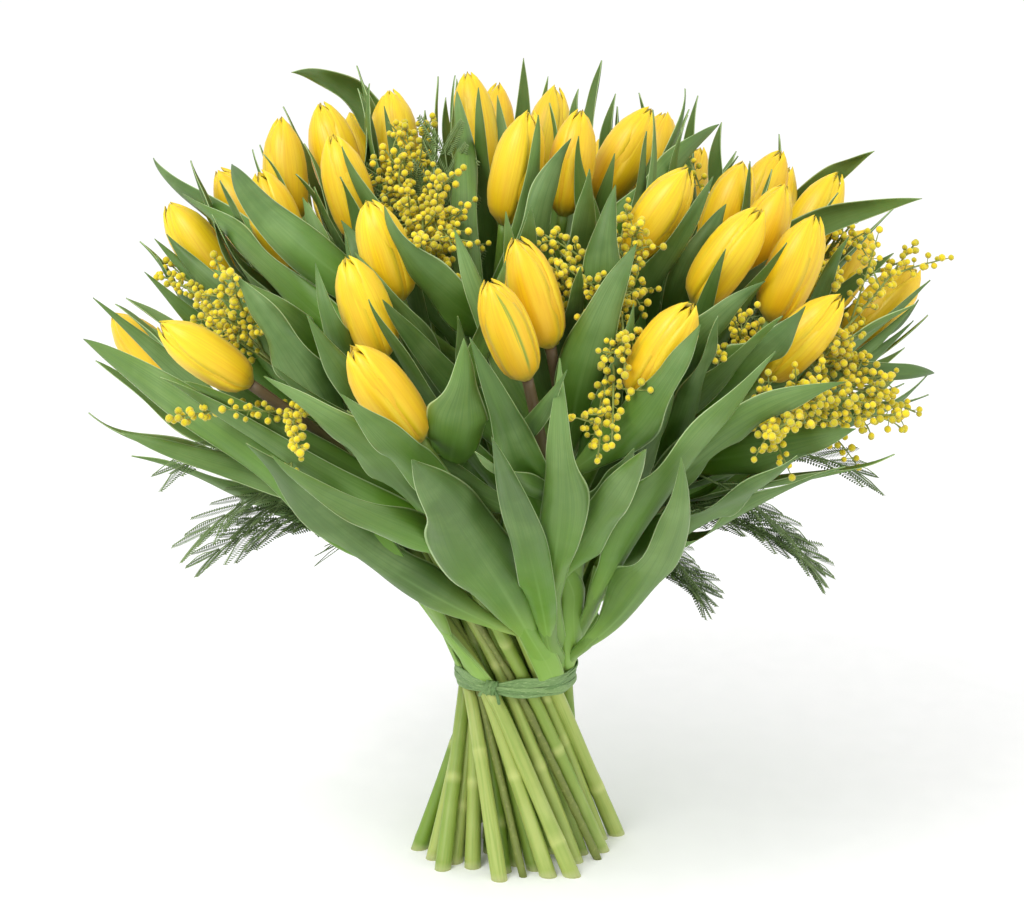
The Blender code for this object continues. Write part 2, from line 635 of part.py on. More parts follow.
class Leaves:
    """Finds each leaf a stem, a height on it and a clear way to its tip."""

    def __init__(self, paths, placed):
        self.paths, self.placed = paths, placed
        self.made, self.missed = [], []
        self.roots = {k: [] for k in range(TULIPS)}

    def stems_near(self, start, tip):
        found = []
        for k in range(TULIPS):
            if len(self.roots[k]) == LEAVES_ON_STEM:
                continue
            top = self.paths[k, 3, 2]
            for height in np.arange(TIE_HEIGHT + 12 * MM, top, 9 * MM):
                if any(abs(height - root) < ROOTS_APART for root in self.roots[k]):
                    continue
                point, slope = stem_point(self.paths[k], height)
                turn = 60 * MM * (1 - slope @ unit(tip - point))
                found.append((np.linalg.norm(point - start) + turn + 9 * MM * len(self.roots[k]), k, height))
        found.sort()
        picked, times = [], {}
        for _, k, height in found:
            times[k] = times.get(k, 0) + 1
            if times[k] in (1, 4):
                picked.append((k, height))
        return picked[:12]

    def place(self, name, tip, middle, start, width, face, rows):
        draw = random.Random(name)
        turn, twist = draw.uniform(-0.35, 0.35), draw.uniform(-0.5, 0.5)
        wave, phase = LEAF_WAVE * draw.uniform(0.4, 1), draw.uniform(0, 2 * math.pi)
        waves = draw.uniform(1.2, 2.2)
        stems = self.stems_near(start, tip)
        around = (tip if middle is None else middle) - TIE
        out = unit(around * (1, 1, 0.5))
        for scale in LEAF_SCALES:
            for lift in LEAF_LIFTS:
                for k, height in stems:
                    root, slope = stem_point(self.paths[k], height)
                    end = tip + out * lift * 0.6 * MM
                    facing = unit(unit(around * (1, 1, 0.15)) * (1 - face) - LOOK * face)
                    length = np.linalg.norm(end - root)
                    side = unit(facing - slope * (facing @ slope))
                    begin = root + side * 0.2 * np.interp(height, self.paths[k, :, 2], STEM_RADII)
                    second = begin + slope * length * 0.18 + side * length * 0.11
                    if middle is None:
                        onward = unit(unit(end - TIE) + unit(end - begin))
                        third = end - onward * length * 0.3 + out * lift * 0.3 * MM
                    else:
                        halfway = middle + out * lift * MM
                        third = end - unit(end - halfway) * length * 0.3
                        second = second + ((8 * halfway - begin - end) / 3 - third - second) * 0.5
                    leaf = {
                        "stem": k, "rows": rows, "width": width * scale,
                        "curve": (begin, second, third, end), "facing": facing, "turn": turn,
                        "twist": twist, "wave": wave, "waves": waves, "phase": phase,
                    }
                    blade = leaf_solid(dict(leaf, rows=np.concatenate([rows[1:2] * 1.5, rows[2:]])))
                    if self.placed.clear(leaf_solid(leaf, GAP), ("stem", k)) and self.placed.clear(blade):
                        self.placed.add(leaf_solid(leaf), ("leaf", len(self.made)))
                        self.made.append(leaf)
                        self.roots[k].append(height)
                        return
        self.missed.append(name)


LARGE_ROWS = np.array([0, 0.14, 0.34, 0.56, 0.79, 1])
MIDDLE_ROWS = np.array([0, 0.18, 0.42, 0.72, 1])
SMALL_ROWS = np.array([0, 0.24, 0.62, 1])


def leaf_line(tip, middle, start):
    """Tip, middle and start of a seen leaf. Its tip carries on from the other two."""
    surface, middle_at, start_at = (seen_at(p, lift) for p, lift in zip((tip, middle, start), SEEN_LIFTS))
    ratio = min(1.5, math.dist(tip, middle) / math.dist(middle, start))
    onward = middle_at + (middle_at - start_at) * ratio
    sight = unit(surface - EYE)
    shift = np.clip((onward - surface) @ sight, -25 * MM, 60 * MM)
    return surface + sight * shift, middle_at, start_at


def grow_leaves(paths, placed):
    leaves = Leaves(paths, placed)
    for number, (*pixels, width) in enumerate(LEAVES_SEEN):
        rows = LARGE_ROWS if number < HERO_LEAVES else MIDDLE_ROWS
        leaves.place(f"seen {number}", *leaf_line(*pixels), width * MM, 0.6, rows)
    for number in FAR_LEAVES:
        *pixels, width = LEAVES_SEEN[number]
        turn = FAR_TURN + random.Random(f"far {number}").uniform(-0.3, 0.3)
        leaves.place(f"far {number}", *turned(leaf_line(*pixels), turn), width * MM, 0, MIDDLE_ROWS)
    for number in range(SIDE_LEAVES):
        draw = random.Random(f"side {number}")
        around = math.radians((-1) ** number * 90 + SIDE_FAN * (number // 2 - SIDE_LEAVES / 4 + 0.5))
        rise = math.radians(draw.uniform(30, 48))
        ray = np.array([math.sin(around) * math.cos(rise), math.cos(around) * math.cos(rise), math.sin(rise)])
        reach = (DOME_REACH + DOME_CROWN * ray[2] ** 2) * draw.uniform(0.88, 1.0)
        tip, middle, start = (TIE + ray * reach * share for share in (1, 0.62, 0.24))
        middle = middle + np.array([0, 0, 12 * MM])
        leaves.place(f"side {number}", tip, middle, start, draw.uniform(12, 15) * MM, 0, MIDDLE_ROWS)
    for number, pixel in enumerate(TIPS_SEEN):
        draw = random.Random(f"tip {number}")
        tip = seen_at(pixel, 12 * MM) + LOOK * draw.uniform(-20, 50) * MM
        start = tip - unit(tip - TIE) * draw.uniform(115, 150) * MM
        leaves.place(f"tip {number}", tip, None, start, draw.uniform(9, 14) * MM, 0, SMALL_ROWS)
    print("leaves", len(leaves.made), "missed", leaves.missed)
    return leaves.made


# Mimosa


def grow_sprigs(paths, placed, blooms):
    sprigs = []
    for number, (name, _, twigs, fronds) in enumerate(SPRIGS):
        stem = ("stem", TULIPS + number)
        path = paths[TULIPS + number]
        turn = FAR_TURN if name == "far" else 0.0
        solids = [tube(path, SPRIG_RADII, STEM_SIDES, level=True)]
        balls = 0
        for k, pixel in enumerate(twigs):
            draw = random.Random(f"twig {name} {k}")
            line = clear_twig(path, turned(seen_at(pixel, 8 * MM), turn), placed, stem)
            if line is None:
                continue
            owner = ("twig", name, k)
            solids.append(twig_solid(line))
            placed.add(solids[-1], owner)
            for ball in clear_balls(line, placed, owner, blooms, draw):
                solids.append(ball_solid(*ball))
                placed.add(solids[-1], owner)
                balls += 1
        for k, pixel in enumerate(fronds):
            draw = random.Random(f"frond {name} {k}")
            frond = clear_frond(path, turned(seen_at(pixel), turn), placed, stem, draw)
            if frond:
                solids.append(frond_solid(**frond))
                placed.add(solids[-1], ("frond", name, k))
        print("sprig", name, "pieces", len(solids), "balls", balls)
        sprigs.append((name, solids))
    return sprigs


def inside_bloom(point, blooms):
    low, high, radii = blooms
    along = ((point - low) * (high - low)).sum(1) / ((high - low) ** 2).sum(1)
    nearest = low + (high - low) * np.clip(along, 0, 1)[:, None]
    return bool((np.linalg.norm(point - nearest, axis=1) < radii).any())


def fork_points(path, end):
    """Places on a mimosa stem for a twig to leave from, the nearest first."""
    heights = np.linspace(path[2, 2] - 20 * MM, path[4, 2] - MM, 14)
    points = np.array([stem_point(path, height)[0] for height in heights])
    order = np.argsort(np.linalg.norm(points - end, axis=1), kind="stable")
    return [(points[k], stem_point(path, heights[k])[1]) for k in order[:8]]


def twig_solid(line, extra=0.0):
    return tube(line, np.array([1.3, 1, 0.9]) * TWIG_RADIUS + extra, 3)


def clear_twig(path, end, placed, stem):
    """A twig from the stem to its end, touching its own stem only at the fork."""
    for lift in TWIG_LIFTS:
        for begin, slope in fork_points(path, end):
            target = end + unit(end - TIE) * lift * MM
            length = np.linalg.norm(target - begin)
            line = np.array([begin, begin + (target - begin) * 0.5 + slope * length * 0.08, target])
            free = np.vstack([begin + unit(line[1] - begin) * 7 * MM, line[1:]])
            if placed.clear(twig_solid(line, GAP), stem) and placed.clear(twig_solid(free)):
                return line
    return None


def clear_balls(line, placed, owner, blooms, draw):
    """Ball flowers round the outer part of a twig, the last on its end."""
    way = unit(line[2] - line[1])
    found = []
    for j in range(BALLS_ON_TWIG):
        last = j == BALLS_ON_TWIG - 1
        spot = line[1] + (line[2] - line[1]) * (0.15 + 0.85 * j / (BALLS_ON_TWIG - 1))
        out = way if last else frame_round(way, draw.uniform(0, 0.8) + 2.4 * j)[0]
        centre = spot + out * (BALL_RADIUS + (-BALL_INTO_TWIG if last else BALL_ON_SIDE))
        close = any(np.linalg.norm(centre - other) < 2.1 * BALL_RADIUS for other, _, _ in found)
        if close or inside_bloom(centre, blooms):
            continue
        if placed.clear(ball_solid(centre, BALL_RADIUS + GAP * 1.7, out), owner):
            found.append((centre, BALL_RADIUS, out))
    return found


def clear_frond(path, end, placed, stem, draw):
    """A frond from the stem to its tip, touching its own stem only at the root."""
    for lift in FROND_LIFTS:
        for begin, _ in fork_points(path, end):
            target = end + np.array([0, 0, lift * MM])
            length = np.linalg.norm(target - begin)
            way = (target - begin) / length
            sag = (np.array([0, 0, 1.0]) - way * way[2]) * 0.12 * length
            second, third = (begin + (target - begin) * share + sag for share in (0.33, 0.7))
            curve = (begin, second, third, target)
            facing = np.array([0, 0, 1.0]) + unit((end - TIE) * (1, 1, 0)) * draw.uniform(0.3, 0.8)
            frond = {"curve": curve, "facing": unit(facing - way * (facing @ way))}
            blade = frond_solid(**frond, begin=0.15)
            if placed.clear(frond_solid(**frond, extra=GAP), stem) and placed.clear(blade):
                return frond
    return None


# Tie


def bundle_outline(paths, radii, height, count, extra):
    """A ring round the stems at a height, each side just outside the stem it rests on."""
    angles = np.linspace(0, 2 * math.pi, count, endpoint=False)
    normals = np.stack([np.cos(angles), np.sin(angles)], axis=1)
    centres = np.array([stem_point(path, height)[0][:2] for path in paths])
    slopes = np.array([stem_point(path, height)[1] for path in paths])
    reach = centres @ normals.T
    lean = (slopes[:, :2] @ normals.T) / slopes[:, 2:]
    reach = (reach + radii[:, None] * np.sqrt(1 + lean ** 2)).max(0) + extra
    following = np.roll(np.arange(count), -1)
    step = angles[1] - angles[0]
    along = (reach[following] - reach * math.cos(step)) / math.sin(step)
    tangents = np.stack([-np.sin(angles), np.cos(angles)], axis=1)
    return normals * reach[:, None] + tangents * along[:, None]


def tie_solids(paths, radii):
    """The band, a second strand crossing over it, and the knot with its two ends."""
    sides = TIE_SIDES
    band = []
    for height, layer in ((-0.5, 0), (0.5, 0), (0.5, 1), (-0.5, 1)):
        level = TIE_HEIGHT + height * TIE_WIDTH
        outline = bundle_outline(paths, radii, level, sides, GAP * 1.2 + layer * TIE_THICK)
        band.append(np.hstack([outline, np.full((sides, 1), level)]))
    ring = np.stack(band, axis=1)
    points = [tuple(p) for p in ring.reshape(-1, 3)]
    faces = []
    for i in range(sides):
        for j in range(4):
            a, b = i * 4 + j, i * 4 + (j + 1) % 4
            c, d = (b + 4) % (4 * sides), (a + 4) % (4 * sides)
            faces += [(a, b, c), (a, c, d)]
    solids = [fixed_winding(points, faces)]
    outer = ring[:, 2:].mean(1)
    knot_at = int(np.argmin(np.linalg.norm(unit(outer[:, :2]) - unit(KNOT_SIDE), axis=1)))
    strand = []
    for k in range(6):
        here = outer[(knot_at + k) % sides]
        slope = (k / 5 - 0.5) * 2
        out = unit(here * (1, 1, 0))
        strand.append(here * (1, 1, 0) + out * 0.4 * MM + np.array([0, 0, TIE_HEIGHT + slope * STRAND_RISE]))
    solids.append(ribbon(np.array(strand), *STRAND))
    knot = outer[knot_at] * (1, 1, 0) + np.array([0, 0, TIE_HEIGHT - 1 * MM])
    out = unit(knot * (1, 1, 0))
    side = np.array([-out[1], out[0], 0])
    up = np.array([0, 0, 1.0])
    lump = [knot - up * 5.5 * MM + out * 0.5 * MM, knot - up * 2 * MM + out * 1.8 * MM,
            knot + up * 2 * MM + out * 1.8 * MM, knot + up * 5.5 * MM + out * 0.5 * MM]
    solids.append(tube(np.array(lump), [2.2 * MM, 3.6 * MM, 3.6 * MM, 2.2 * MM], 6))
    for way, drop in ((-1, 11), (1, 14)):
        tail = [knot + out * 1.5 * MM, knot + out * 4 * MM + side * way * 6 * MM - up * 4 * MM,
                knot + out * 4 * MM + side * way * 11 * MM - up * drop * MM]
        solids.append(ribbon(np.array(tail), *TAIL))
    return solids


def ribbon(path, width, thick):
    """A flat strip along a path, standing on edge against the bundle."""
    out = unit(path * (1, 1, 0))
    steps = unit(np.gradient(path, axis=0))
    rise = unit(np.cross(out, steps))
    turns = ((-1, -1), (1, -1), (1, 1), (-1, 1))
    corners = [path + out * a * thick / 2 + rise * b * width / 2 for a, b in turns]
    return loft(np.stack(corners, axis=1))


# Objects


def material(name, colour, roughness):
    made = bpy.data.materials.new(name)
    made.use_nodes = True
    shader = made.node_tree.nodes["Principled BSDF"]
    shader.inputs["Base Color"].default_value = (*colour, 1)
    shader.inputs["Roughness"].default_value = roughness
    shader.inputs["Metallic"].default_value = 0
    return made


def mesh_object(name, solid, finish, collection=None):
    mesh = bpy.data.meshes.new(name)
    mesh.from_pydata(solid[0], [], solid[1])
    mesh.update()
    made = bpy.data.objects.new(name, mesh)
    (collection or bpy.context.scene.collection).objects.link(made)
    if finish:
        mesh.materials.append(finish)
    return made


def fused(name, solids, finish):
    """One object from solids that run into each other, by one Boolean union.

    The solver is MANIFOLD, because EXACT loses some of the curved blades.
    """
    loose = bpy.data.collections.new(name + "_pieces")
    bpy.context.scene.collection.children.link(loose)
    first = mesh_object(name, solids[0], None)
    for number, solid in enumerate(solids[1:]):
        mesh_object(f"{name}_piece_{number}", solid, None, loose)
    union = first.modifiers.new("Union", "BOOLEAN")
    union.operation = "UNION"
    union.operand_type = "COLLECTION"
    union.solver = "MANIFOLD"
    union.collection = loose
    graph = bpy.context.evaluated_depsgraph_get()
    mesh = bpy.data.meshes.new_from_object(first.evaluated_get(graph))
    first.modifiers.clear()
    old = first.data
    first.data = mesh
    bpy.data.meshes.remove(old)
    for piece in list(loose.objects):
        bpy.data.objects.remove(piece)
    bpy.data.collections.remove(loose)
    keep_largest(mesh)
    close_slivers(mesh)
    mesh.materials.clear()
    mesh.materials.append(finish)
    return first


def close_slivers(mesh):
    """Merges the union's nearly coincident corners, as far as the solid stays closed."""
    for reach in SLIVERS:
        body = bmesh.new()
        body.from_mesh(mesh)
        bmesh.ops.triangulate(body, faces=body.faces)
        bmesh.ops.remove_doubles(body, verts=body.verts, dist=reach)
        bmesh.ops.dissolve_degenerate(body, dist=reach / 10, edges=body.edges)
        bmesh.ops.triangulate(body, faces=body.faces)
        body.faces.sort(key=lambda face: face.calc_center_median().z)
        closed = all(edge.is_contiguous for edge in body.edges) and all(v.is_manifold for v in body.verts)
        if closed:
            body.to_mesh(mesh)
        body.free()
        if closed:
            return


def keep_largest(mesh):
    """Drops what the union left apart from the main body."""
    parent = list(range(len(mesh.vertices)))

    def root(k):
        while parent[k] != k:
            parent[k] = parent[parent[k]]
            k = parent[k]
        return k

    for edge in mesh.edges:
        a, b = root(edge.vertices[0]), root(edge.vertices[1])
        parent[a] = b
    roots = [root(k) for k in range(len(mesh.vertices))]
    largest = max(set(roots), key=roots.count)
    if roots.count(largest) == len(roots):
        return
    kept = [k for k in range(len(roots)) if roots[k] == largest]
    number = {k: n for n, k in enumerate(kept)}
    points = [tuple(mesh.vertices[k].co) for k in kept]
    whole = [face.vertices for face in mesh.polygons if roots[face.vertices[0]] == largest]
    faces = [tuple(number[v] for v in corners) for corners in whole]
    print("dropped", len(roots) - len(kept), "loose corners of", mesh.name)
    mesh.clear_geometry()
    mesh.from_pydata(points, [], faces)
    mesh.update()


def clear_scene():
    for old in list(bpy.data.objects):
        bpy.data.objects.remove(old)


def layout():
    """Everything's place: blooms, stems, leaves and sprigs."""
    centres, axes = bloom_places()
    draws = [random.Random(f"bloom {k}") for k in range(TULIPS)]
    lengths = np.array([BLOOM_LENGTH * draw.uniform(0.93, 1.06) for draw in draws])
    widths = np.array([BLOOM_RADIUS * draw.uniform(0.94, 1.07) for draw in draws])
    spins = [draw.uniform(0, 2 * math.pi) for draw in draws]
    openings = [draw.uniform(0, 0.16) for draw in draws]
    centres = spread_blooms(centres, axes, lengths, widths)
    bases = centres - axes * lengths[:, None] / 2
    sprig_tops = np.array([
        turned(seen_at(top, -22 * MM), FAR_TURN if name == "far" else 0) for name, top, _, _ in SPRIGS
    ])
    sprig_axes = unit(sprig_tops - TIE)
    tops = np.concatenate([bases - axes * GAP, sprig_tops])
    ways = np.concatenate([axes, sprig_axes])
    rays = tops - TIE
    lean = np.arccos(rays[:, 2] / np.linalg.norm(rays, axis=1))
    around = np.arctan2(rays[:, 1], rays[:, 0]) + SPIRAL_TURN
    middle = int(np.argmin(lean[:TULIPS]))
    order = np.argsort(lean, kind="stable")
    rank = np.empty(len(lean))
    rank[order] = np.arange(len(lean))
    out = (BUNDLE_RADIUS - STEM_RADII[1]) * np.sqrt(rank / (len(lean) - 1))
    for ring in (order[1:9], order[9:25], order[25:]):
        ranked = ring[np.argsort(around[ring], kind="stable")]
        even = around[ranked[0]] + 2 * math.pi * np.arange(len(ranked)) / len(ranked)
        even = even + (around[ranked] - even).mean()
        around[ranked] += (even - around[ranked]) * 0.6
    out[middle] = 0
    waists = np.stack([out * np.cos(around), out * np.sin(around)], axis=1)
    radii = np.concatenate([np.tile(STEM_RADII, (TULIPS, 1)), np.tile(SPRIG_RADII, (len(SPRIGS), 1))])
    groups = group_stems(waists, TULIPS)
    waists = pack_waist(waists, radii[:, 1], groups, middle)
    short = np.zeros(len(tops))
    for k in range(TULIPS):
        if k != middle and np.linalg.norm(waists[k]) < 0.5 * BUNDLE_RADIUS:
            short[k] = random.Random(f"cut {k}").uniform(0, 7) * MM
    paths = stem_paths(waists, tops, ways, short)
    inset = axes * (lengths / 2 - widths * 0.8)[:, None]
    capsules = (centres - inset, centres + inset, widths * 1.06)
    paths = bend_clear(paths, radii, groups, capsules)
    return {
        "bases": bases, "axes": axes, "lengths": lengths, "widths": widths, "spins": spins,
        "openings": openings, "groups": groups, "paths": paths, "radii": radii, "capsules": capsules,
    }


def build():
    clear_scene()
    plan = layout()
    yellow = material("petal_yellow", (0.90, 0.68, 0.02), 0.45)
    green = material("leaf_green", (0.13, 0.27, 0.10), 0.5)
    mimosa = material("mimosa_yellow", (0.62, 0.55, 0.08), 0.7)
    raffia = material("raffia_green", (0.22, 0.36, 0.12), 0.6)
    placed = Placed()
    blooms = []
    for k in range(TULIPS):
        bloom = bloom_solid(plan["bases"][k], plan["axes"][k], plan["lengths"][k],
                            plan["widths"][k], plan["spins"][k], plan["openings"][k])
        blooms.append(bloom)
        placed.add(bloom, ("bloom", k))
    tubes = []
    for k, path in enumerate(plan["paths"]):
        tubes.append(tube(path, plan["radii"][k], STEM_SIDES, level=True))
        placed.add(tubes[k], ("stem", k))
    leaves = grow_leaves(plan["paths"], placed)
    sprigs = grow_sprigs(plan["paths"], placed, plan["capsules"])
    for k, bloom in enumerate(blooms):
        mesh_object(f"tulip_bloom_{k + 1:02d}", bloom, yellow)
    for group in range(1 + WEDGES):
        members = [k for k in range(TULIPS) if plan["groups"][k] == group]
        solids = [tubes[k] for k in members]
        solids += [leaf_solid(leaf) for leaf in leaves if leaf["stem"] in members]
        fused(f"leafy_stems_{group + 1}", solids, green)
    for name, solids in sprigs:
        fused(f"mimosa_{name}", solids, mimosa)
    fused("raffia_tie", tie_solids(plan["paths"], plan["radii"][:, 1]), raffia)
    for made in bpy.data.objects:
        if made.name.startswith(("tulip", "leafy", "mimosa")):
            made.data.shade_smooth()
            made.data.set_sharp_from_angle(angle=math.radians(40))


build()
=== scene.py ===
import math
import random

import bpy
import numpy as np
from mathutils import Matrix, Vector
from mathutils.bvhtree import BVHTree


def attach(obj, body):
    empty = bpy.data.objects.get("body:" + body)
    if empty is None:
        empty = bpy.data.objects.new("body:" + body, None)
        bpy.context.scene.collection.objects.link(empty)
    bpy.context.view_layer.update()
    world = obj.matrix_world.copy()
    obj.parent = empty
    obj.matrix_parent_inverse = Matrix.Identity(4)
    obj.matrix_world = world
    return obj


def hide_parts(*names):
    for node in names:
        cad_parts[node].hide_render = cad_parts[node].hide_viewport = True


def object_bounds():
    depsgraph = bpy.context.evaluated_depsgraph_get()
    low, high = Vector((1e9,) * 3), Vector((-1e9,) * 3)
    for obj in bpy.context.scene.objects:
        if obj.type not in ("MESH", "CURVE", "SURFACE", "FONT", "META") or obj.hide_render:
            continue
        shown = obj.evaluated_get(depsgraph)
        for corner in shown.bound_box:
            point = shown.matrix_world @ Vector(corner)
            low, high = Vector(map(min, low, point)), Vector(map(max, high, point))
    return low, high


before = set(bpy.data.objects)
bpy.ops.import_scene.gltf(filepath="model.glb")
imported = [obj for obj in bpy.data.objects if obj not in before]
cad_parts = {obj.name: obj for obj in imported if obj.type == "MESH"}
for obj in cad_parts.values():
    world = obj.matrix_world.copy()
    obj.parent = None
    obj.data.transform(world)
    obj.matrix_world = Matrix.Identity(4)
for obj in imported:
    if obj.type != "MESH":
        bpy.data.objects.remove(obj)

cadBox = [list(map(float, corner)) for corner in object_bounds()]
mm = 0.001
clearGap = 0.35 * mm

bunch = {
    "tieHeight": 97 * mm,       # where the stems cross
    "waistRadius": 33 * mm,
    "footCircle": 67 * mm,      # the cut ends of the outermost stems
    "spiralTurn": math.radians(67),
    "domeReach": 258 * mm,      # from the tie to the blooms
    "domeCrown": 35 * mm,
    "skirtAngle": math.radians(52),
    "skirtFlare": 25 * mm,
}
spiralRate = math.sqrt((bunch["footCircle"] / bunch["waistRadius"]) ** 2 - 1) / bunch["tieHeight"]
tiePoint = np.array([0, 0, bunch["tieHeight"]])

stemSet = {
    "radii": np.array([4.4, 3.7, 3.4, 3.0, 2.7]) * mm,
    "sprigRadii": np.array([2.3, 2.1, 1.7, 1.3, 0.9]) * mm,
    "sides": 5,                 # of the solids that places are tested with
    "pressed": 0.8,
    "wedges": 7,
    "core": 6,
}

bloomSet = {
    "count": 45,
    "length": 56 * mm,
    "radius": 13.6 * mm,
    "focus": 20 * mm,           # above the tie, where the axes meet
    "nod": 0.42,                # how far the seen blooms lean away from the view
    "spots": 240,               # places on the dome that the far blooms choose from
    "spotsInside": math.radians(5),
    "farFrom": 20 * mm,         # behind the axis
    "farRise": 0.35,
    "belly": 0.56,              # heights on the plain solid, as shares of its length
    "foot": 0.17,
    "mouth": 0.78,
}

relaxing = {                    # rounds in which pieces that touch are moved apart
    "blooms": 150,
    "waist": 900,
    "linkedFrom": 200,
    "bends": 260,
    "drawnHome": 160,
}

leafSet = {
    "blade": 0.8 * mm,
    "wave": 4 * mm,
    "curl": (1.25, 0.55),       # half the arc across a blade, at its root and at its tip
    "root": 0.2,                # width there, as a share
    "widest": 0.37,             # share of the length at which it is widest
    "scales": (1, 0.8, 0.62),   # widths tried
    "lifts": (0, 8, -8, 16, -16, 26, -26, 38, 50),  # ways out from the dome tried, in mm
    "onStem": 4,
    "rootsApart": 11 * mm,
    "heroes": 15,               # the first of the seen leaves, which have the most rows
    "atSides": 8,
    "sideFan": 30,              # degrees from one leaf at the sides to the next
    "seenLifts": (10 * mm, 4 * mm, -8 * mm),  # off the dome, of tip, middle and start
}

sprigSet = {
    "ballRadius": 2.7 * mm,
    "ballsOnTwig": 4,
    "ballIntoTwig": 0.8 * mm,
    "ballOnSide": 0.1 * mm,
    "twigLifts": (0, 6, -6, 12, -12, 18, -18),
    "frondLifts": (0, 6, -6, 14, -14, 22, -22),
    "twigRadius": 0.75 * mm,
    "frondPairs": 5,
    "frondWidth": 13 * mm,
    "frondRib": 0.9 * mm,
    "topInside": 22 * mm,       # how deep in the dome a mimosa stem ends
    "twigOut": 8 * mm,          # how far past the dome a twig ends
}

# The view of the photograph, whose pixels the tables below are in
photoView = {
    "axisPixel": (518, 458),
    "widePixels": 1024,
    "pixel": 0.53 * mm,
    "centre": np.array([0, 0, 215]) * mm,
    "tilt": math.radians(13),
    "distance": 1.5,
}
rightWay = np.array([1.0, 0, 0])
lookWay = np.array([0, math.cos(photoView["tilt"]), -math.sin(photoView["tilt"])])
aboveWay = np.array([0, math.sin(photoView["tilt"]), math.cos(photoView["tilt"])])
eyePoint = photoView["centre"] - lookWay * photoView["distance"]
upWay = np.array([0, 0, 1.0])
farTurn = math.radians(180)

bloomsSeen = (
    (205, 354, -56, 0), (148, 352, -43, 1), (210, 239, -35, 0), (244, 215, -30, 1),
    (276, 222, -19, 0), (305, 171, -5, 1), (327, 154, -15, 1), (348, 188, -16, 0),
    (371, 145, -5, 1), (384, 250, -18, 0), (365, 307, -21, 0), (386, 394, -36, 0),
    (475, 126, -8, 1), (499, 135, 5, 1), (518, 167, 13, 0), (542, 137, 10, 1),
    (571, 162, 10, 0), (531, 294, -18, 0), (510, 328, -22, 0), (625, 154, 30, 0),
    (656, 158, 12, 1), (659, 213, 34, 0), (684, 192, 20, 1), (737, 213, 20, 0),
    (729, 256, 35, 0), (769, 200, 25, 1), (760, 237, 24, 0), (782, 264, 23, 0),
    (803, 215, 30, 1), (882, 307, 42, 0), (803, 337, 43, 0), (663, 350, 32, 0),
)

leavesSeen = (
    ((85, 339), (250, 440), (440, 625), 15),
    ((262, 440), (340, 540), (445, 640), 15),
    ((410, 458), (470, 530), (560, 655), 22),
    ((783, 354), (680, 450), (600, 640), 15),
    ((260, 378), (365, 440), (450, 600), 13),
    ((660, 480), (635, 570), (590, 648), 14),
    ((800, 462), (720, 510), (620, 600), 12),
    ((843, 378), (735, 415), (640, 570), 13),
    ((553, 361), (563, 460), (580, 640), 13),
    ((492, 443), (527, 540), (568, 645), 11),
    ((469, 335), (510, 430), (560, 600), 13),
    ((648, 447), (605, 510), (583, 600), 12),
    ((637, 244), (585, 330), (565, 430), 14),
    ((340, 395), (395, 445), (440, 500), 11),
    ((470, 345), (460, 420), (500, 520), 17),
    ((140, 162), (230, 225), (320, 330), 11),
    ((187, 192), (260, 265), (350, 380), 11),
    ((233, 274), (290, 350), (350, 430), 13),
    ((813, 308), (750, 360), (690, 420), 13),
    ((258, 186), (290, 260), (345, 350), 12),
    ((378, 205), (415, 290), (450, 380), 12),
    ((947, 376), (890, 365), (760, 430), 8),
    ((700, 323), (660, 400), (635, 450), 12),
    ((616, 185), (590, 270), (565, 330), 12),
    ((573, 138), (530, 200), (480, 300), 11),
    ((454, 86), (472, 170), (485, 300), 9),
    ((455, 224), (470, 280), (480, 340), 9),
    ((714, 124), (660, 180), (600, 260), 11),
    ((734, 195), (705, 240), (670, 320), 11),
    ((798, 239), (765, 280), (720, 350), 12),
    ((306, 316), (340, 370), (400, 450), 11),
    ((298, 192), (315, 250), (360, 340), 11),
    ((335, 208), (355, 240), (385, 320), 11),
    ((215, 272), (270, 300), (330, 370), 12),
    ((342, 244), (400, 300), (440, 400), 9),
    ((760, 279), (715, 320), (680, 380), 11),
    ((647, 294), (632, 370), (630, 440), 8),
    ((323, 269), (340, 320), (375, 400), 8),
)

tipsSeen = (
    (524, 51), (444, 79), (498, 93), (574, 78), (612, 83), (651, 92), (696, 92),
    (359, 91), (251, 135), (774, 155), (831, 192), (887, 209), (892, 253), (720, 125),
    (202, 177), (149, 264), (107, 294), (176, 244), (321, 128), (380, 102), (421, 107),
    (474, 93), (559, 104), (623, 96), (642, 140), (752, 128), (747, 223), (848, 223),
    (532, 215), (507, 221), (458, 310), (401, 164), (666, 252), (710, 276), (594, 174),
    (284, 181), (783, 217), (238, 170),
)

farLeaves = (0, 1, 2, 3, 4, 5, 6, 8, 9, 12, 14, 15, 16, 18, 20, 24, 27)

sprigsSeen = (
    ("left", (245, 330), ((215, 258), (250, 300), (190, 300), (168, 262), (300, 452), (172, 418)),
     ((188, 462), (208, 530), (250, 520))),
    ("upper_left", (425, 210), ((385, 150), (405, 125), (440, 180), (420, 250)),
     ((400, 160), (445, 150))),
    ("middle", (615, 290), ((640, 225), (600, 240), (555, 265), (625, 340), (600, 450)),
     ((590, 420),)),
    ("right", (800, 380), ((842, 338), (887, 376), (852, 398), (742, 338), (772, 436), (902, 414)),
     ((848, 468), (806, 558), (690, 580))),
    ("upper_right", (820, 250), ((855, 220), (905, 262), (835, 285), (715, 185), (690, 135)),
     ((790, 300),)),
    ("far", (800, 380), ((845, 335), (885, 380), (850, 400), (740, 335), (905, 412)),
     ((848, 470), (808, 560))),
)


# Where everything is: the same rules and seeded draws that placed the solids


def unit(vectors):  # Vectors scaled to length one.
    return vectors / np.linalg.norm(vectors, axis=-1, keepdims=True)


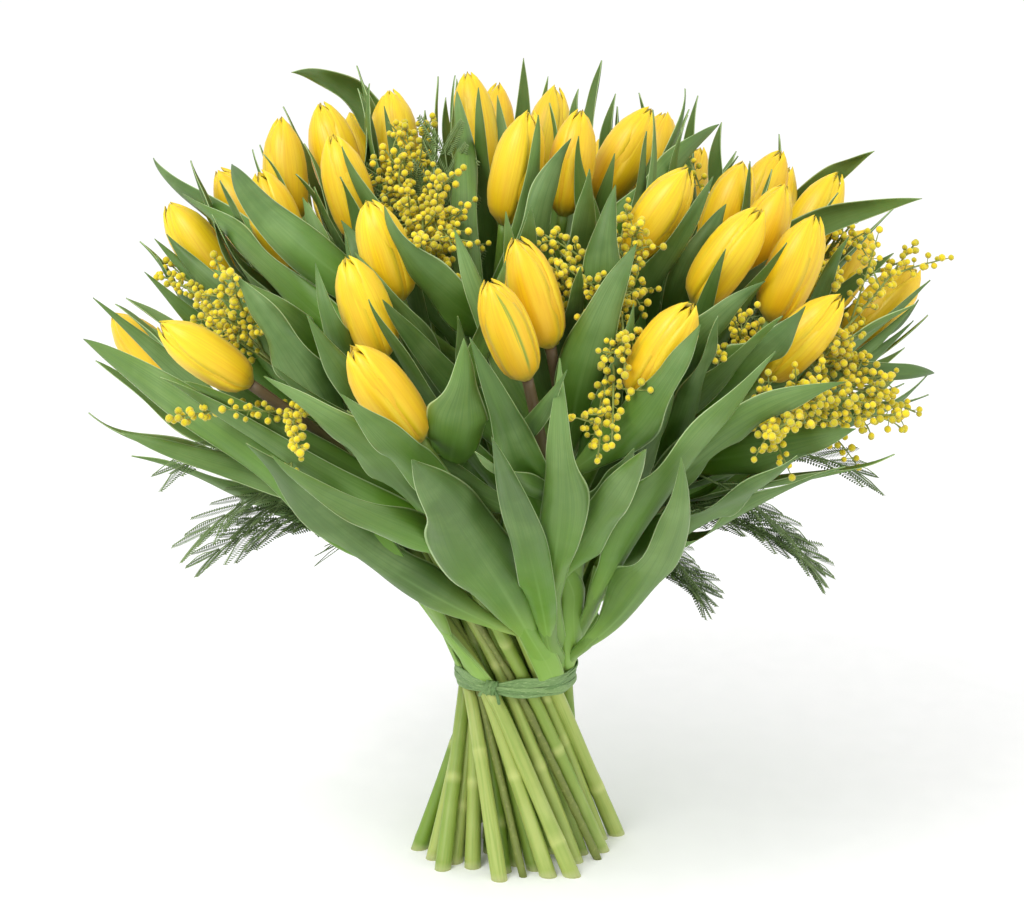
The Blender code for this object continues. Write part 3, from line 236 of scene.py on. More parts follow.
def turned(points, angle):  # Points turned about the bunch's upright axis.
    c, s = math.cos(angle), math.sin(angle)
    return np.asarray(points) @ np.array([[c, s, 0], [-s, c, 0], [0, 0, 1]])


def bezier(curve, s):  # The point at share s of a cubic curve with four control points.
    a, b, c, d = curve
    return a * (1 - s) ** 3 + 3 * b * s * (1 - s) ** 2 + 3 * c * s * s * (1 - s) + d * s ** 3


def bezierSlope(curve, s):  # That curve's direction there, not scaled.
    a, b, c, d = curve
    return 3 * ((b - a) * (1 - s) ** 2 + 2 * (c - b) * s * (1 - s) + (d - c) * s * s)


def twoFaced(surface, half):  # Both faces of a sheet, joined row by row into rings.
    return np.concatenate([surface + half, (surface - half)[:, ::-1]], axis=1)


# How far points lie outside the bunch's outline raised by lift; negative inside.
def outside(points, lift):
    offset = points - tiePoint
    reach = np.linalg.norm(offset, axis=-1)
    lean = np.arccos(np.clip(offset[..., 2] / reach, -1, 1))
    crown = bunch["domeReach"] + bunch["domeCrown"] * np.cos(lean) ** 2 + lift
    flare = np.exp(-(reach - bunch["waistRadius"]) / bunch["skirtFlare"])
    skirt = bunch["skirtAngle"] + (math.pi / 2 - bunch["skirtAngle"]) * flare
    return np.maximum(reach - crown, (lean - skirt) * reach - lift)


# The place on the outline, near or far side, that is seen at a pixel.
def seenAt(pixel, lift=0.0, far=False):
    across = (pixel[0] - photoView["axisPixel"][0]) * photoView["pixel"]
    up = (photoView["axisPixel"][1] - pixel[1]) * photoView["pixel"]
    ray = unit(photoView["centre"] + rightWay * across + aboveWay * up - eyePoint)
    points = eyePoint + ray * (photoView["distance"] + np.arange(-0.4, 0.4, mm))[:, None]
    depth = outside(points, lift)
    inside = np.flatnonzero(depth < 0)
    if not len(inside):
        return points[np.argmin(depth)]
    return points[inside[-1 if far else 0]]


def frameRound(axis, spin):  # Two directions square to an axis, turned round it by spin.
    side = unit(np.cross(axis, [0.31, 0.87, 0.38]))
    other = np.cross(axis, side)
    return math.cos(spin) * side + math.sin(spin) * other, math.cos(spin) * other - math.sin(spin) * side


def bloomPlaces():  # Centres and axes of the seen blooms, then of those on the far side.
    centres = [seenAt(row[:2], 0, bool(row[3])) for row in bloomsSeen]
    leans = [math.radians(row[2]) for row in bloomsSeen]
    golden = math.pi * (3 - math.sqrt(5))
    lowest = math.cos(bunch["skirtAngle"] - bloomSet["spotsInside"])
    spots = []
    for k in range(bloomSet["spots"]):
        rise = 1 - (k + 0.5) / bloomSet["spots"] * (1 - lowest)
        out = math.sqrt(1 - rise * rise)
        ray = np.array([out * math.cos(golden * k), out * math.sin(golden * k), rise])
        spots.append(tiePoint + ray * (bunch["domeReach"] + bunch["domeCrown"] * rise * rise))
    spots = np.array([spot for spot in spots if spot[1] > bloomSet["farFrom"]])
    while len(centres) < bloomSet["count"]:
        apart = np.linalg.norm(spots[:, None] - np.array(centres)[None], axis=-1).min(1)
        centres.append(spots[np.argmax(apart)])
    centres = np.array(centres)
    axes = unit(centres - tiePoint - np.array([0, 0, bloomSet["focus"]]))
    for k, lean in enumerate(leans):
        depth = axes[k] @ lookWay * bloomSet["nod"]
        flat = math.sqrt(1 - depth * depth)
        axes[k] = flat * (math.sin(lean) * rightWay + math.cos(lean) * aboveWay) + depth * lookWay
    axes[len(leans):] = unit(axes[len(leans):] + upWay * bloomSet["farRise"])
    return centres, axes


# Places s and t along segments a and b where they come nearest, row by row.
def nearestPairs(a0, a1, b0, b1):
    u, v, w = a1 - a0, b1 - b0, a0 - b0
    uu, uv, vv = (u * u).sum(1), (u * v).sum(1), (v * v).sum(1)
    uw, vw = (u * w).sum(1), (v * w).sum(1)
    spread = uu * vv - uv * uv
    s = np.where(spread > 1e-14, (uv * vw - vv * uw) / np.maximum(spread, 1e-14), 0.5).clip(0, 1)
    t = ((uv * s + vw) / vv).clip(0, 1)
    return ((uv * t - uw) / uu).clip(0, 1), t


# Moves blooms that touch, mostly along the line of sight.
def spreadBlooms(centres, axes, lengths, radii):
    one, two = np.triu_indices(len(centres), 1)
    for _ in range(relaxing["blooms"]):
        reach = axes * (lengths / 2 - radii * 0.8)[:, None]
        s, t = nearestPairs((centres - reach)[one], (centres + reach)[one],
                             (centres - reach)[two], (centres + reach)[two])
        fromOne = centres[one] + reach[one] * (2 * s - 1)[:, None]
        fromTwo = centres[two] + reach[two] * (2 * t - 1)[:, None]
        apart = fromTwo - fromOne
        distance = np.linalg.norm(apart, axis=1)
        lack = (radii[one] + radii[two]) * 1.04 + clearGap - distance
        push = apart / distance[:, None] * np.maximum(lack, 0)[:, None] * 0.3
        sight = (push @ lookWay)[:, None] * lookWay
        push = sight + (push - sight) * 0.35
        np.add.at(centres, one, -push)
        np.add.at(centres, two, push)
    return centres


def waistTilt(places):  # Stem directions at the tie, leaning sideways round the axis.
    return np.stack([spiralRate * places[:, 1], -spiralRate * places[:, 0], np.ones(len(places))], axis=1)


# The middle stems, then wedges round them, then each mimosa stem on its own.
def groupStems(places, count):
    order = np.argsort(np.linalg.norm(places[:count], axis=1), kind="stable")
    groups = np.zeros(len(places), int)
    outer = order[stemSet["core"]:]
    around = np.arctan2(places[outer, 1], places[outer, 0])
    ranked = outer[np.argsort(around, kind="stable")]
    groups[ranked] = 1 + np.arange(len(ranked)) * stemSet["wedges"] // len(ranked)
    groups[count:] = 1 + stemSet["wedges"] + np.arange(len(places) - count)
    return groups


def chainLinks(places, groups):  # The pairs that join each group's stems by the shortest steps.
    links = []
    for group in range(1 + stemSet["wedges"]):
        members = list(np.flatnonzero(groups == group))
        joined = [members.pop(0)]
        while members:
            steps = [(np.linalg.norm(places[a] - places[b]), a, b) for a in joined for b in members]
            _, a, b = min(steps)
            links.append((a, b))
            joined.append(b)
            members.remove(b)
    return np.array(links)


# Presses the stems together at the tie: groups just clear, a group's own stems fused.
def packWaist(places, radii, groups, middle):
    one, two = np.triu_indices(len(places), 1)
    same = groups[one] == groups[two]
    need = radii[one] + radii[two] + 0.1 * mm
    links = None
    for step in range(relaxing["waist"]):
        if step == relaxing["linkedFrom"]:
            links = chainLinks(places, groups)
            linked = {frozenset(link) for link in links.tolist()}
            chained = np.array([frozenset(pair) in linked for pair in zip(one.tolist(), two.tolist())])
            need = np.where(chained, stemSet["pressed"] * (radii[one] + radii[two]), need)
        if (np.linalg.norm(places, axis=1) + radii).max() > bunch["waistRadius"]:
            places = places * 0.9985
        centre = (places[one] + places[two]) / 2 + 1e-7
        out = np.linalg.norm(centre, axis=1)
        radial = centre / out[:, None]
        apart = places[two] - places[one]
        along = (apart * radial).sum(1)
        across = radial[:, 0] * apart[:, 1] - radial[:, 1] * apart[:, 0]
        across = across / np.sqrt(1 + (spiralRate * out) ** 2)
        distance = np.hypot(along, across) + 1e-9
        lack = np.maximum(need - distance, 0)
        push = apart / distance[:, None] * lack[:, None] * 0.3
        move = np.zeros_like(places)
        np.add.at(move, one, -push)
        np.add.at(move, two, push)
        if links is not None:
            a, b = links.T
            gap = places[b] - places[a]
            length = np.linalg.norm(gap, axis=1)
            excess = np.maximum(length - stemSet["pressed"] * (radii[a] + radii[b]), 0)
            pull = gap / length[:, None] * excess[:, None] * 0.35
            np.add.at(move, a, pull)
            np.add.at(move, b, -pull)
        places = places + move
        places = places - places[middle]
    return places


# Five points a stem: cut end, tie, two between and the top.
def stemPaths(waists, tops, axes, shortfalls):
    slopes = waistTilt(waists)
    tiePoints = np.column_stack([waists, np.full(len(waists), bunch["tieHeight"])])
    feet = tiePoints - slopes * (bunch["tieHeight"] - shortfalls)[:, None]
    reach = np.linalg.norm(tops - tiePoints, axis=1)[:, None]
    curve = (tiePoints, tiePoints + unit(slopes) * reach * 0.38, tops - axes * reach * 0.3, tops)
    return np.stack([feet, tiePoints, bezier(curve, 0.36), bezier(curve, 0.7), tops], axis=1)


def segments(values, end, blooms):  # A value at one end of each stem's four segments and of the blooms.
    return np.concatenate([values[:, j + end] for j in range(4)] + [blooms])


# Bends the stems' free points until they pass each other and the blooms.
def bendClear(paths, radii, groups, blooms):
    count = len(paths)
    home = paths.copy()
    stem = np.concatenate([np.arange(count)] * 4 + [np.arange(len(blooms[0]))])
    joint = np.repeat(np.arange(5), [count] * 4 + [len(blooms[0])])
    one, two = np.triu_indices(len(stem), 1)
    keep = (stem[one] != stem[two]) & ((joint[one] < 4) | (joint[two] < 4)) & (joint[one] + joint[two] > 0)
    one, two = one[keep], two[keep]
    same = (groups[stem[one]] == groups[stem[two]]) & (joint[one] < 4) & (joint[two] < 4)
    thick0, thick1 = segments(radii, 0, blooms[2]), segments(radii, 1, blooms[2])
    for step in range(relaxing["bends"]):
        starts, ends = segments(paths, 0, blooms[0]), segments(paths, 1, blooms[1])
        s, t = nearestPairs(starts[one], ends[one], starts[two], ends[two])
        s, t = s[:, None], t[:, None]
        apart = starts[two] + (ends - starts)[two] * t - starts[one] - (ends - starts)[one] * s
        distance = np.linalg.norm(apart, axis=1) + 1e-9
        need = thick0[one] + (thick1 - thick0)[one] * s[:, 0] + thick0[two] + (thick1 - thick0)[two] * t[:, 0]
        need = np.where(same, 0.85 * need, need + 2 * clearGap)
        lack = np.maximum(need - distance, 0)
        push = apart / distance[:, None] * lack[:, None] * 0.4
        move = np.zeros_like(paths)
        for which, place, sign in ((one, s, -1), (two, t, 1)):
            for point, share in ((0, 1 - place), (1, place)):
                at = joint[which] + point
                sprigTop = (at == 4) & (stem[which] >= bloomSet["count"])
                free = (joint[which] < 4) & ((at == 2) | (at == 3) | sprigTop)
                np.add.at(move, (stem[which][free], at[free]), sign * (push * share)[free])
        paths = paths + move
        if step < relaxing["drawnHome"]:
            paths = paths + (home - paths) * 0.01
    return paths


# Plain solids, used only to test that a place is clear, so their faces may turn either way


# Quads split in two between rings of points. Each end is a cap, a point or a short edge.
def loft(rings, mirrored=(), first=None, last=None):
    count, sides = rings.shape[:2]
    points = [tuple(p) for p in rings.reshape(-1, 3)]
    faces = []
    for i in range(count - 1):
        for j in range(sides):
            a, b = i * sides + j, i * sides + (j + 1) % sides
            c, d = b + sides, a + sides
            faces += [(a, b, d), (b, c, d)] if j in mirrored else [(a, b, c), (a, c, d)]
    faces += endFaces(points, list(range(sides)), first)
    faces += endFaces(points, list(range((count - 1) * sides, count * sides)), last)
    return points, faces


# Faces that close a ring by a cap, or by the one or two points of its end.
def endFaces(points, ring, end):
    if end is None:
        return cap(ring)
    tips = [len(points) + k for k in range(len(end))]
    points += [tuple(p) for p in end]
    sides = len(ring)
    half = sides // 2
    faces = []
    for j in range(sides):
        a, b = ring[j], ring[(j + 1) % sides]
        if len(tips) == 2 and j in (half - 1, sides - 1):
            here, there = tips if j == half - 1 else tips[::-1]
            faces += [(b, a, there), (there, a, here)]
        else:
            faces.append((b, a, tips[0] if j < half or len(tips) == 1 else tips[1]))
    return faces


def cap(ring):  # Fills a ring across itself, pair by pair.
    ring = list(ring)
    faces = []
    while len(ring) > 3:
        a, b, c, d = ring[0], ring[1], ring[-2], ring[-1]
        faces += [(d, b, a), (d, c, b)]
        ring = ring[1:-1]
    if len(ring) == 3:
        faces.append((ring[2], ring[1], ring[0]))
    return faces


# A round bar along a path; level cuts its first end flat and horizontal.
def tube(path, radii, sides, level=False):
    steps = unit(np.diff(path, axis=0))
    along = unit(np.vstack([steps[:1], steps[:-1] + steps[1:], steps[-1:]]))
    side = unit(np.cross(along, [0.13, 0.99, 0.07]))
    turn = np.linspace(0, 2 * math.pi, sides, endpoint=False)
    return loft(ringsRound(path, along, side, turn, radii, level))


# The line's point plus radius times cos and sin of the turn along two directions square to it.
def ringsRound(line, along, side, turn, radii, level):
    other = np.cross(along, side)
    ring = side[:, None] * np.cos(turn)[:, None] + other[:, None] * np.sin(turn)[:, None]
    rings = line[:, None] + ring * np.asarray(radii)[:, None, None]
    if level:
        drop = rings[0, :, 2] - line[0, 2]
        rings[0] -= along[0] * (drop / along[0, 2])[:, None]
    return rings


# Corners of the plain bud: degrees round it, radius at the belly, height and radius of the tip
outerTepal = ((-33, 1.0, 0.91, 0.45), (0, 1.03, 1.0, 0.22), (33, 1.0, 0.91, 0.45))
innerTepal = ((36, 0.90, 0.90, 0.38), (60, 0.93, 0.93, 0.26), (84, 0.90, 0.90, 0.38))
bloomFoot = ((-16, 0.87), (34, 0.84), (72, 0.8))


# Three outer tepals over three inner ones, closed to a bud, with a shallow mouth.
def bloomSolid(base, axis, length, radius, spin, opening):
    across, other = frameRound(axis, spin)
    low, high, tips = [], [], []
    for third in range(3):
        for angle, wide, rise, close in outerTepal + innerTepal:
            ray = turnedRay(across, other, angle + 120 * third)
            close = close + opening * (0.9 if angle in (0, 60) else 0.55)
            high.append(base + axis * length * bloomSet["belly"] + ray * radius * wide)
            tips.append(base + axis * length * rise + ray * radius * close)
        for angle, wide in bloomFoot:
            ray = turnedRay(across, other, angle + 120 * third)
            low.append(base + axis * length * bloomSet["foot"] + ray * radius * wide)
    points = high + tips + low + [base, base + axis * length * (bloomSet["mouth"] - 0.2 * opening)]
    faces = []
    for j in range(18):
        a, b = j, (j + 1) % 18
        faces += [(a, b, b + 18), (a, b + 18, a + 18), (a + 18, b + 18, 46)]
    for j in range(9):
        a, b, c, d = 2 * j, 2 * j + 1, (2 * j + 2) % 18, 36 + (j + 1) % 9
        faces += [(36 + j, b, a), (36 + j, c, b), (36 + j, d, c), (36 + j, 45, d)]
    return [tuple(point) for point in points], faces


def turnedRay(across, other, degrees):  # A direction square to an axis, turned round it.
    turn = math.radians(degrees)
    return math.cos(turn) * across + math.sin(turn) * other


# Half width along a tulip leaf: a narrow root, widest at two fifths, a long point.
def leafOutline(s):
    rise = np.sin(math.pi / 2 * np.minimum(s / leafSet["widest"], 1)) ** 2
    swell = leafSet["root"] + (1 - leafSet["root"]) * rise
    taper = np.maximum(0, (s - leafSet["widest"]) / (1 - leafSet["widest"]))
    return swell * (1 - taper ** 1.5) * (1 - 0.15 * taper)


def bladeWays(leaf, along, s):  # A blade's directions across it and out of its face, twisted along it.
    across = unit(np.cross(along, leaf["facing"]))
    normal = np.cross(across, along)
    angle = leaf["turn"] + leaf["twist"] * s
    return (across * np.cos(angle) + normal * np.sin(angle),
            normal * np.cos(angle) - across * np.sin(angle))


def bladeBends(leaf, s):  # How far a blade bends across, and how far it waves, along it.
    root, tip = leafSet["curl"]
    wave = leaf["wave"] * np.sin(2 * math.pi * leaf["waves"] * s + leaf["phase"]) * np.minimum(s * 4, 1)
    return (root + (tip - root) * s)[..., None], wave


def bentAcross(line, across, normal, width, bent, curl):  # A blade's width laid on an arc across it.
    return line + across * width * np.sin(bent) / curl - normal * width * (1 - np.cos(bent)) / curl


# A thin channelled blade: arcs across it, waved at the edges, on a curved midline.
def leafSolid(leaf, extra=0.0):
    s = leaf["rows"][:, None]
    line = bezier(leaf["curve"], s)
    across, normal = bladeWays(leaf, unit(np.gradient(line, axis=0)), s)
    width = (leaf["width"] * leafOutline(s))[..., None]
    curl, wave = bladeBends(leaf, s)
    v = np.array([-1.0, 0, 1])[None, :, None]
    line, across, normal = line[:, None], across[:, None], normal[:, None]
    surface = bentAcross(line, across, normal, width, curl * v, curl)
    surface = surface + normal * wave[..., None] * v ** 2 * leafOutline(s)[..., None]
    facing = normal * np.cos(curl * v / 2) + across * np.sin(curl * v / 2)
    rings = twoFaced(surface, facing * (leafSet["blade"] / 2 + extra))
    return loft(rings[1:-1], mirrored=(3, 4), first=rings[0, [1, 4]], last=rings[-1, [1, 4]])


# A feathery leaf: one thin arched blade cut to its rib between slanting leaflets.
def frondSolid(curve, facing, extra=0.0, begin=0.0):
    ribs = np.append(begin, np.linspace(0.2, 0.94, sprigSet["frondPairs"] + 1))
    s = np.sort(np.concatenate([ribs, ribs[1:-1] + 0.75 * np.diff(ribs)[1:]]))[:, None]
    wide = (np.arange(len(s)) % 2 == 0) & (np.arange(len(s)) > 0)
    shape = np.sin(math.pi * np.clip(0.12 + 0.8 * s[:, 0], 0, 1)) ** 0.7
    half = np.where(wide, sprigSet["frondWidth"] * shape, sprigSet["frondRib"])[:, None, None]
    line = bezier(curve, s)
    along = unit(np.gradient(line, axis=0))
    across = unit(np.cross(along, facing))
    normal = np.cross(across, along)
    v = np.array([-1.0, 1])[None, :, None]
    slant = 0.03 * math.dist(curve[0], curve[3])
    reach = np.where(wide, slant, 0)[:, None, None]
    line, across, along, normal = (each[:, None] for each in (line, across, along, normal))
    surface = line + across * (half + extra) * v + along * reach - normal * half * 0.25
    return loft(twoFaced(surface, normal * (leafSet["blade"] / 2 + extra)), mirrored=(2,))


def ballSolid(centre, radius, out):  # A ball flower, one corner of it pointing back at its twig.
    axes = (out, *frameRound(out, 0.4))
    points = [tuple(centre + radius * axes[k // 2] * (1 - 2 * (k % 2))) for k in range(6)]
    faces = [(x, y, z) for x in (0, 1) for y in (2, 3) for z in (4, 5)]
    return points, faces


class Placed:  # All that is placed so far, to test whether something new is clear of it.

    def __init__(self):
        self.low, self.high, self.trees, self.owners = [], [], [], []

    def add(self, solid, owner):  # Keeps its box, its tree and whose it is.
        points = np.array(solid[0])
        self.low.append(points.min(0))
        self.high.append(points.max(0))
        self.trees.append(BVHTree.FromPolygons(solid[0], solid[1]))
        self.owners.append(owner)

    def clear(self, solid, owner=None):  # True if it touches nothing, its owner's apart.
        points = np.array(solid[0])
        near = (np.array(self.low) < points.max(0)).all(1) & (np.array(self.high) > points.min(0)).all(1)
        tree = None
        for k in np.flatnonzero(near):
            if owner is not None and self.owners[k] == owner:
                continue
            tree = tree or BVHTree.FromPolygons(solid[0], solid[1])
            if tree.overlap(self.trees[k]):
                return False
        return True


def stemPoint(path, height):  # A point on a stem at a height, with the stem's direction there.
    heights = path[:, 2]
    k = int(np.clip(np.searchsorted(heights, height) - 1, 0, len(path) - 2))
    share = (height - heights[k]) / (heights[k + 1] - heights[k])
    return path[k] + (path[k + 1] - path[k]) * share, unit(path[k + 1] - path[k])


class Leaves:  # Finds each leaf a stem, a height on it and a clear way to its tip.

    def __init__(self, paths, placed):
        self.paths, self.placed = paths, placed
        self.onStem, self.apart = leafSet["onStem"], leafSet["rootsApart"]
        self.scales, self.lifts = leafSet["scales"], leafSet["lifts"]
        self.made, self.missed = [], []
        self.roots = {k: [] for k in range(bloomSet["count"])}

    # Places for a root, at two heights a stem, those nearest to the leaf's start first.
    def stemsNear(self, start, tip):
        found = []
        for k in range(bloomSet["count"]):
            if len(self.roots[k]) >= self.onStem:
                continue
            top = self.paths[k, 3, 2]
            for height in np.arange(bunch["tieHeight"] + 12 * mm, top, 9 * mm):
                if any(abs(height - root) < self.apart for root in self.roots[k]):
                    continue
                point, slope = stemPoint(self.paths[k], height)
                turn = 60 * mm * (1 - slope @ unit(tip - point))
                found.append((np.linalg.norm(point - start) + turn + 9 * mm * len(self.roots[k]), k, height))
        found.sort()
        picked, times = [], {}
        for _, k, height in found:
            times[k] = times.get(k, 0) + 1
            if times[k] in (1, 4):  # the nearest height, and one well away from it
                picked.append((k, height))
        return picked[:12]

    # Tries widths, lifts and stems in turn until the leaf is clear of all but its own stem's foot.
    def place(self, name, tip, middle, start, width, face, rows):
        draw = random.Random(name)
        turn, twist = draw.uniform(-0.35, 0.35), draw.uniform(-0.5, 0.5)
        wave, phase = leafSet["wave"] * draw.uniform(0.4, 1), draw.uniform(0, 2 * math.pi)
        waves = draw.uniform(1.2, 2.2)
        stems = self.stemsNear(start, tip)
        around = (tip if middle is None else middle) - tiePoint
        out = unit(around * (1, 1, 0.5))
        for scale in self.scales:
            for lift in self.lifts:
                for k, height in stems:
                    root, slope = stemPoint(self.paths[k], height)
                    end = tip + out * lift * 0.6 * mm
                    facing = unit(unit(around * (1, 1, 0.15)) * (1 - face) - lookWay * face)
                    length = np.linalg.norm(end - root)
                    side = unit(facing - slope * (facing @ slope))
                    begin = root + side * 0.2 * np.interp(height, self.paths[k, :, 2], stemSet["radii"])
                    second = begin + slope * length * 0.18 + side * length * 0.11
                    if middle is None:
                        onward = unit(unit(end - tiePoint) + unit(end - begin))
                        third = end - onward * length * 0.3 + out * lift * 0.3 * mm
                    else:
                        halfway = middle + out * lift * mm
                        third = end - unit(end - halfway) * length * 0.3
                        second = second + ((8 * halfway - begin - end) / 3 - third - second) * 0.5
                    leaf = {
                        "stem": k, "rows": rows, "width": width * scale,
                        "curve": (begin, second, third, end), "facing": facing, "turn": turn,
                        "twist": twist, "wave": wave, "waves": waves, "phase": phase,
                    }
                    blade = leafSolid(dict(leaf, rows=np.concatenate([rows[1:2] * 1.5, rows[2:]])))
                    if self.placed.clear(leafSolid(leaf, clearGap), ("stem", k)) and self.placed.clear(blade):
                        self.placed.add(leafSolid(leaf), ("leaf", len(self.made)))
                        self.made.append(leaf)
                        self.roots[k].append(height)
                        return
        self.missed.append(name)


# Shares of a plain leaf's length where it has corners
largeRows = np.array([0, 0.14, 0.34, 0.56, 0.79, 1])
middleRows = np.array([0, 0.18, 0.42, 0.72, 1])
smallRows = np.array([0, 0.24, 0.62, 1])


# Tip, middle and start of a seen leaf. Its tip carries on from the other two.
def leafLine(tip, middle, start):
    pixels = zip((tip, middle, start), leafSet["seenLifts"])
    surface, middleAt, startAt = (seenAt(pixel, lift) for pixel, lift in pixels)
    ratio = min(1.5, math.dist(tip, middle) / math.dist(middle, start))
    onward = middleAt + (middleAt - startAt) * ratio
    sight = unit(surface - eyePoint)
    shift = np.clip((onward - surface) @ sight, -25 * mm, 60 * mm)
    return surface + sight * shift, middleAt, startAt


def growLeaves(paths, placed):  # The plain solids' leaves: seen, far, at the sides, and tips.
    leaves = Leaves(paths, placed)
    for number, (*pixels, width) in enumerate(leavesSeen):
        rows = largeRows if number < leafSet["heroes"] else middleRows
        leaves.place(f"seen {number}", *leafLine(*pixels), width * mm, 0.6, rows)
    for number in farLeaves:
        *pixels, width = leavesSeen[number]
        turn = farTurn + random.Random(f"far {number}").uniform(-0.3, 0.3)
        leaves.place(f"far {number}", *turned(leafLine(*pixels), turn), width * mm, 0, middleRows)
    for number in range(leafSet["atSides"]):
        draw = random.Random(f"side {number}")
        fan = leafSet["sideFan"] * (number // 2 - leafSet["atSides"] / 4 + 0.5)
        around = math.radians((-1) ** number * 90 + fan)
        rise = math.radians(draw.uniform(30, 48))
        ray = np.array([math.sin(around) * math.cos(rise), math.cos(around) * math.cos(rise), math.sin(rise)])
        reach = (bunch["domeReach"] + bunch["domeCrown"] * ray[2] ** 2) * draw.uniform(0.88, 1.0)
        tip, middle, start = (tiePoint + ray * reach * share for share in (1, 0.62, 0.24))
        middle = middle + np.array([0, 0, 12 * mm])
        leaves.place(f"side {number}", tip, middle, start, draw.uniform(12, 15) * mm, 0, middleRows)
    for number, pixel in enumerate(tipsSeen):
        draw = random.Random(f"tip {number}")
        tip = seenAt(pixel, 12 * mm) + lookWay * draw.uniform(-20, 50) * mm
        start = tip - unit(tip - tiePoint) * draw.uniform(115, 150) * mm
        leaves.place(f"tip {number}", tip, None, start, draw.uniform(9, 14) * mm, 0, smallRows)
    print("leaves", len(leaves.made), "missed", leaves.missed)
    return leaves


besideLeaves = {
    "onStem": 7,
    "apart": 6 * mm,
    "scales": (1, 0.75),
    "lifts": (0, 6, -8),
    "turn": ((15, 70), (0, 50)),  # degrees round the bloom from its front, at first and again
    "away": (1.25, 1.6),        # from its axis, as a share of its radius
    "rise": (0.55, 1.1),        # of the tip, as a share of its length
    "start": (105, 150),
    "width": (9, 13),
    "toView": 0.6,
    "face": (0.4, -0.3),        # on the near side and on the far side
}


# Leaves to each side of a bloom, their tips a little in front of the bloom's upper half
def growBeside(leaves, plan):
    before = len(leaves.made)
    leaves.onStem, leaves.apart = besideLeaves["onStem"], besideLeaves["apart"]
    leaves.scales, leaves.lifts = besideLeaves["scales"], besideLeaves["lifts"]
    for number in range(4 * bloomSet["count"]):
        k, hand = number // 2 % bloomSet["count"], (-1) ** (number + 1)
        again = number // 2 // bloomSet["count"]
        base, axis, length = (plan[key][k] for key in ("bases", "axes", "lengths"))
        front = unit((base - tiePoint) * (1, 1, 0)) - lookWay * besideLeaves["toView"] * (k < len(bloomsSeen))
        front = unit(front - axis * (front @ axis))
        across = np.cross(axis, front)
        name = f"beside {k} {hand * (1 + again)}"
        draw = random.Random(name)
        turn = hand * math.radians(draw.uniform(*besideLeaves["turn"][again]))
        away = plan["widths"][k] * draw.uniform(*besideLeaves["away"])
        tip = base + axis * length * draw.uniform(*besideLeaves["rise"])
        tip = np.clip(tip + (front * math.cos(turn) + across * math.sin(turn)) * away, cadBox[0], cadBox[1])
        start = tip - unit(tip - tiePoint) * draw.uniform(*besideLeaves["start"]) * mm
        width = draw.uniform(*besideLeaves["width"]) * mm
        leaves.place(name, tip, None, start, width, besideLeaves["face"][int(tip[1] >= 0)], smallRows)
    print("leaves beside the blooms", len(leaves.made) - before)


moreLeaves = {
    "count": 120,
    "scales": (1, 0.72),
    "lifts": (0, 10, -12),
    "golden": 2.39996,          # radians from one to the next
    "lean": (6, 58),            # degrees from upright
    "width": (9, 14),
    "start": (110, 170),
    "reach": (0.97, 1.14),
    "face": (0, 0.6),
}


# Smaller leaves in the gaps of the dome, their tips spread over it by the golden angle
def growMore(leaves):
    before = len(leaves.made)
    leaves.scales, leaves.lifts = moreLeaves["scales"], moreLeaves["lifts"]
    low, high = (math.cos(math.radians(lean)) for lean in moreLeaves["lean"][::-1])
    for number in range(moreLeaves["count"]):
        draw = random.Random(f"more {number}")
        rise = low + (high - low) * (number + 0.5) / moreLeaves["count"]
        around = moreLeaves["golden"] * number + draw.uniform(-0.1, 0.1)
        flat = math.sqrt(1 - rise * rise)
        ray = np.array([flat * math.cos(around), flat * math.sin(around), rise])
        dome = bunch["domeReach"] + bunch["domeCrown"] * rise ** 2
        tip = tiePoint + ray * dome * draw.uniform(*moreLeaves["reach"])
        tip = np.clip(tip, cadBox[0], cadBox[1])
        start = tip - ray * draw.uniform(*moreLeaves["start"]) * mm
        width = draw.uniform(*moreLeaves["width"]) * mm
        face = draw.choice(moreLeaves["face"]) * (1 if tip[1] < 0 else -1)
        leaves.place(f"more {number}", tip, None, start, width, face, smallRows)
    print("leaves between the blooms", len(leaves.made) - before)


def insideBloom(point, blooms):  # True if it is nearer to a bloom's middle line than its radius.
    low, high, radii = blooms
    along = ((point - low) * (high - low)).sum(1) / ((high - low) ** 2).sum(1)
    nearest = low + (high - low) * np.clip(along, 0, 1)[:, None]
    return bool((np.linalg.norm(point - nearest, axis=1) < radii).any())


def forkPoints(path, end):  # Places on a mimosa stem for a twig to leave from, the nearest first.
    heights = np.linspace(path[2, 2] - 20 * mm, path[4, 2] - mm, 14)
    points = np.array([stemPoint(path, height)[0] for height in heights])
    order = np.argsort(np.linalg.norm(points - end, axis=1), kind="stable")
    return [(points[k], stemPoint(path, heights[k])[1]) for k in order[:8]]


def twigSolid(line, extra=0.0):  # Three-sided, thicker at the fork.
    return tube(line, np.array([1.3, 1, 0.9]) * sprigSet["twigRadius"] + extra, 3)


def twigLines(path, end):  # Ways for a twig to its end, from the nearest fork on.
    for lift in sprigSet["twigLifts"]:
        for begin, slope in forkPoints(path, end):
            target = end + unit(end - tiePoint) * lift * mm
            length = np.linalg.norm(target - begin)
            yield np.array([begin, begin + (target - begin) * 0.5 + slope * length * 0.08, target])


# A twig from the stem to its end, touching its own stem only at the fork.
def clearTwig(path, end, placed, stem):
    for line in twigLines(path, end):
        free = np.vstack([line[0] + unit(line[1] - line[0]) * 7 * mm, line[1:]])
        if placed.clear(twigSolid(line, clearGap), stem) and placed.clear(twigSolid(free)):
            return line
    return None


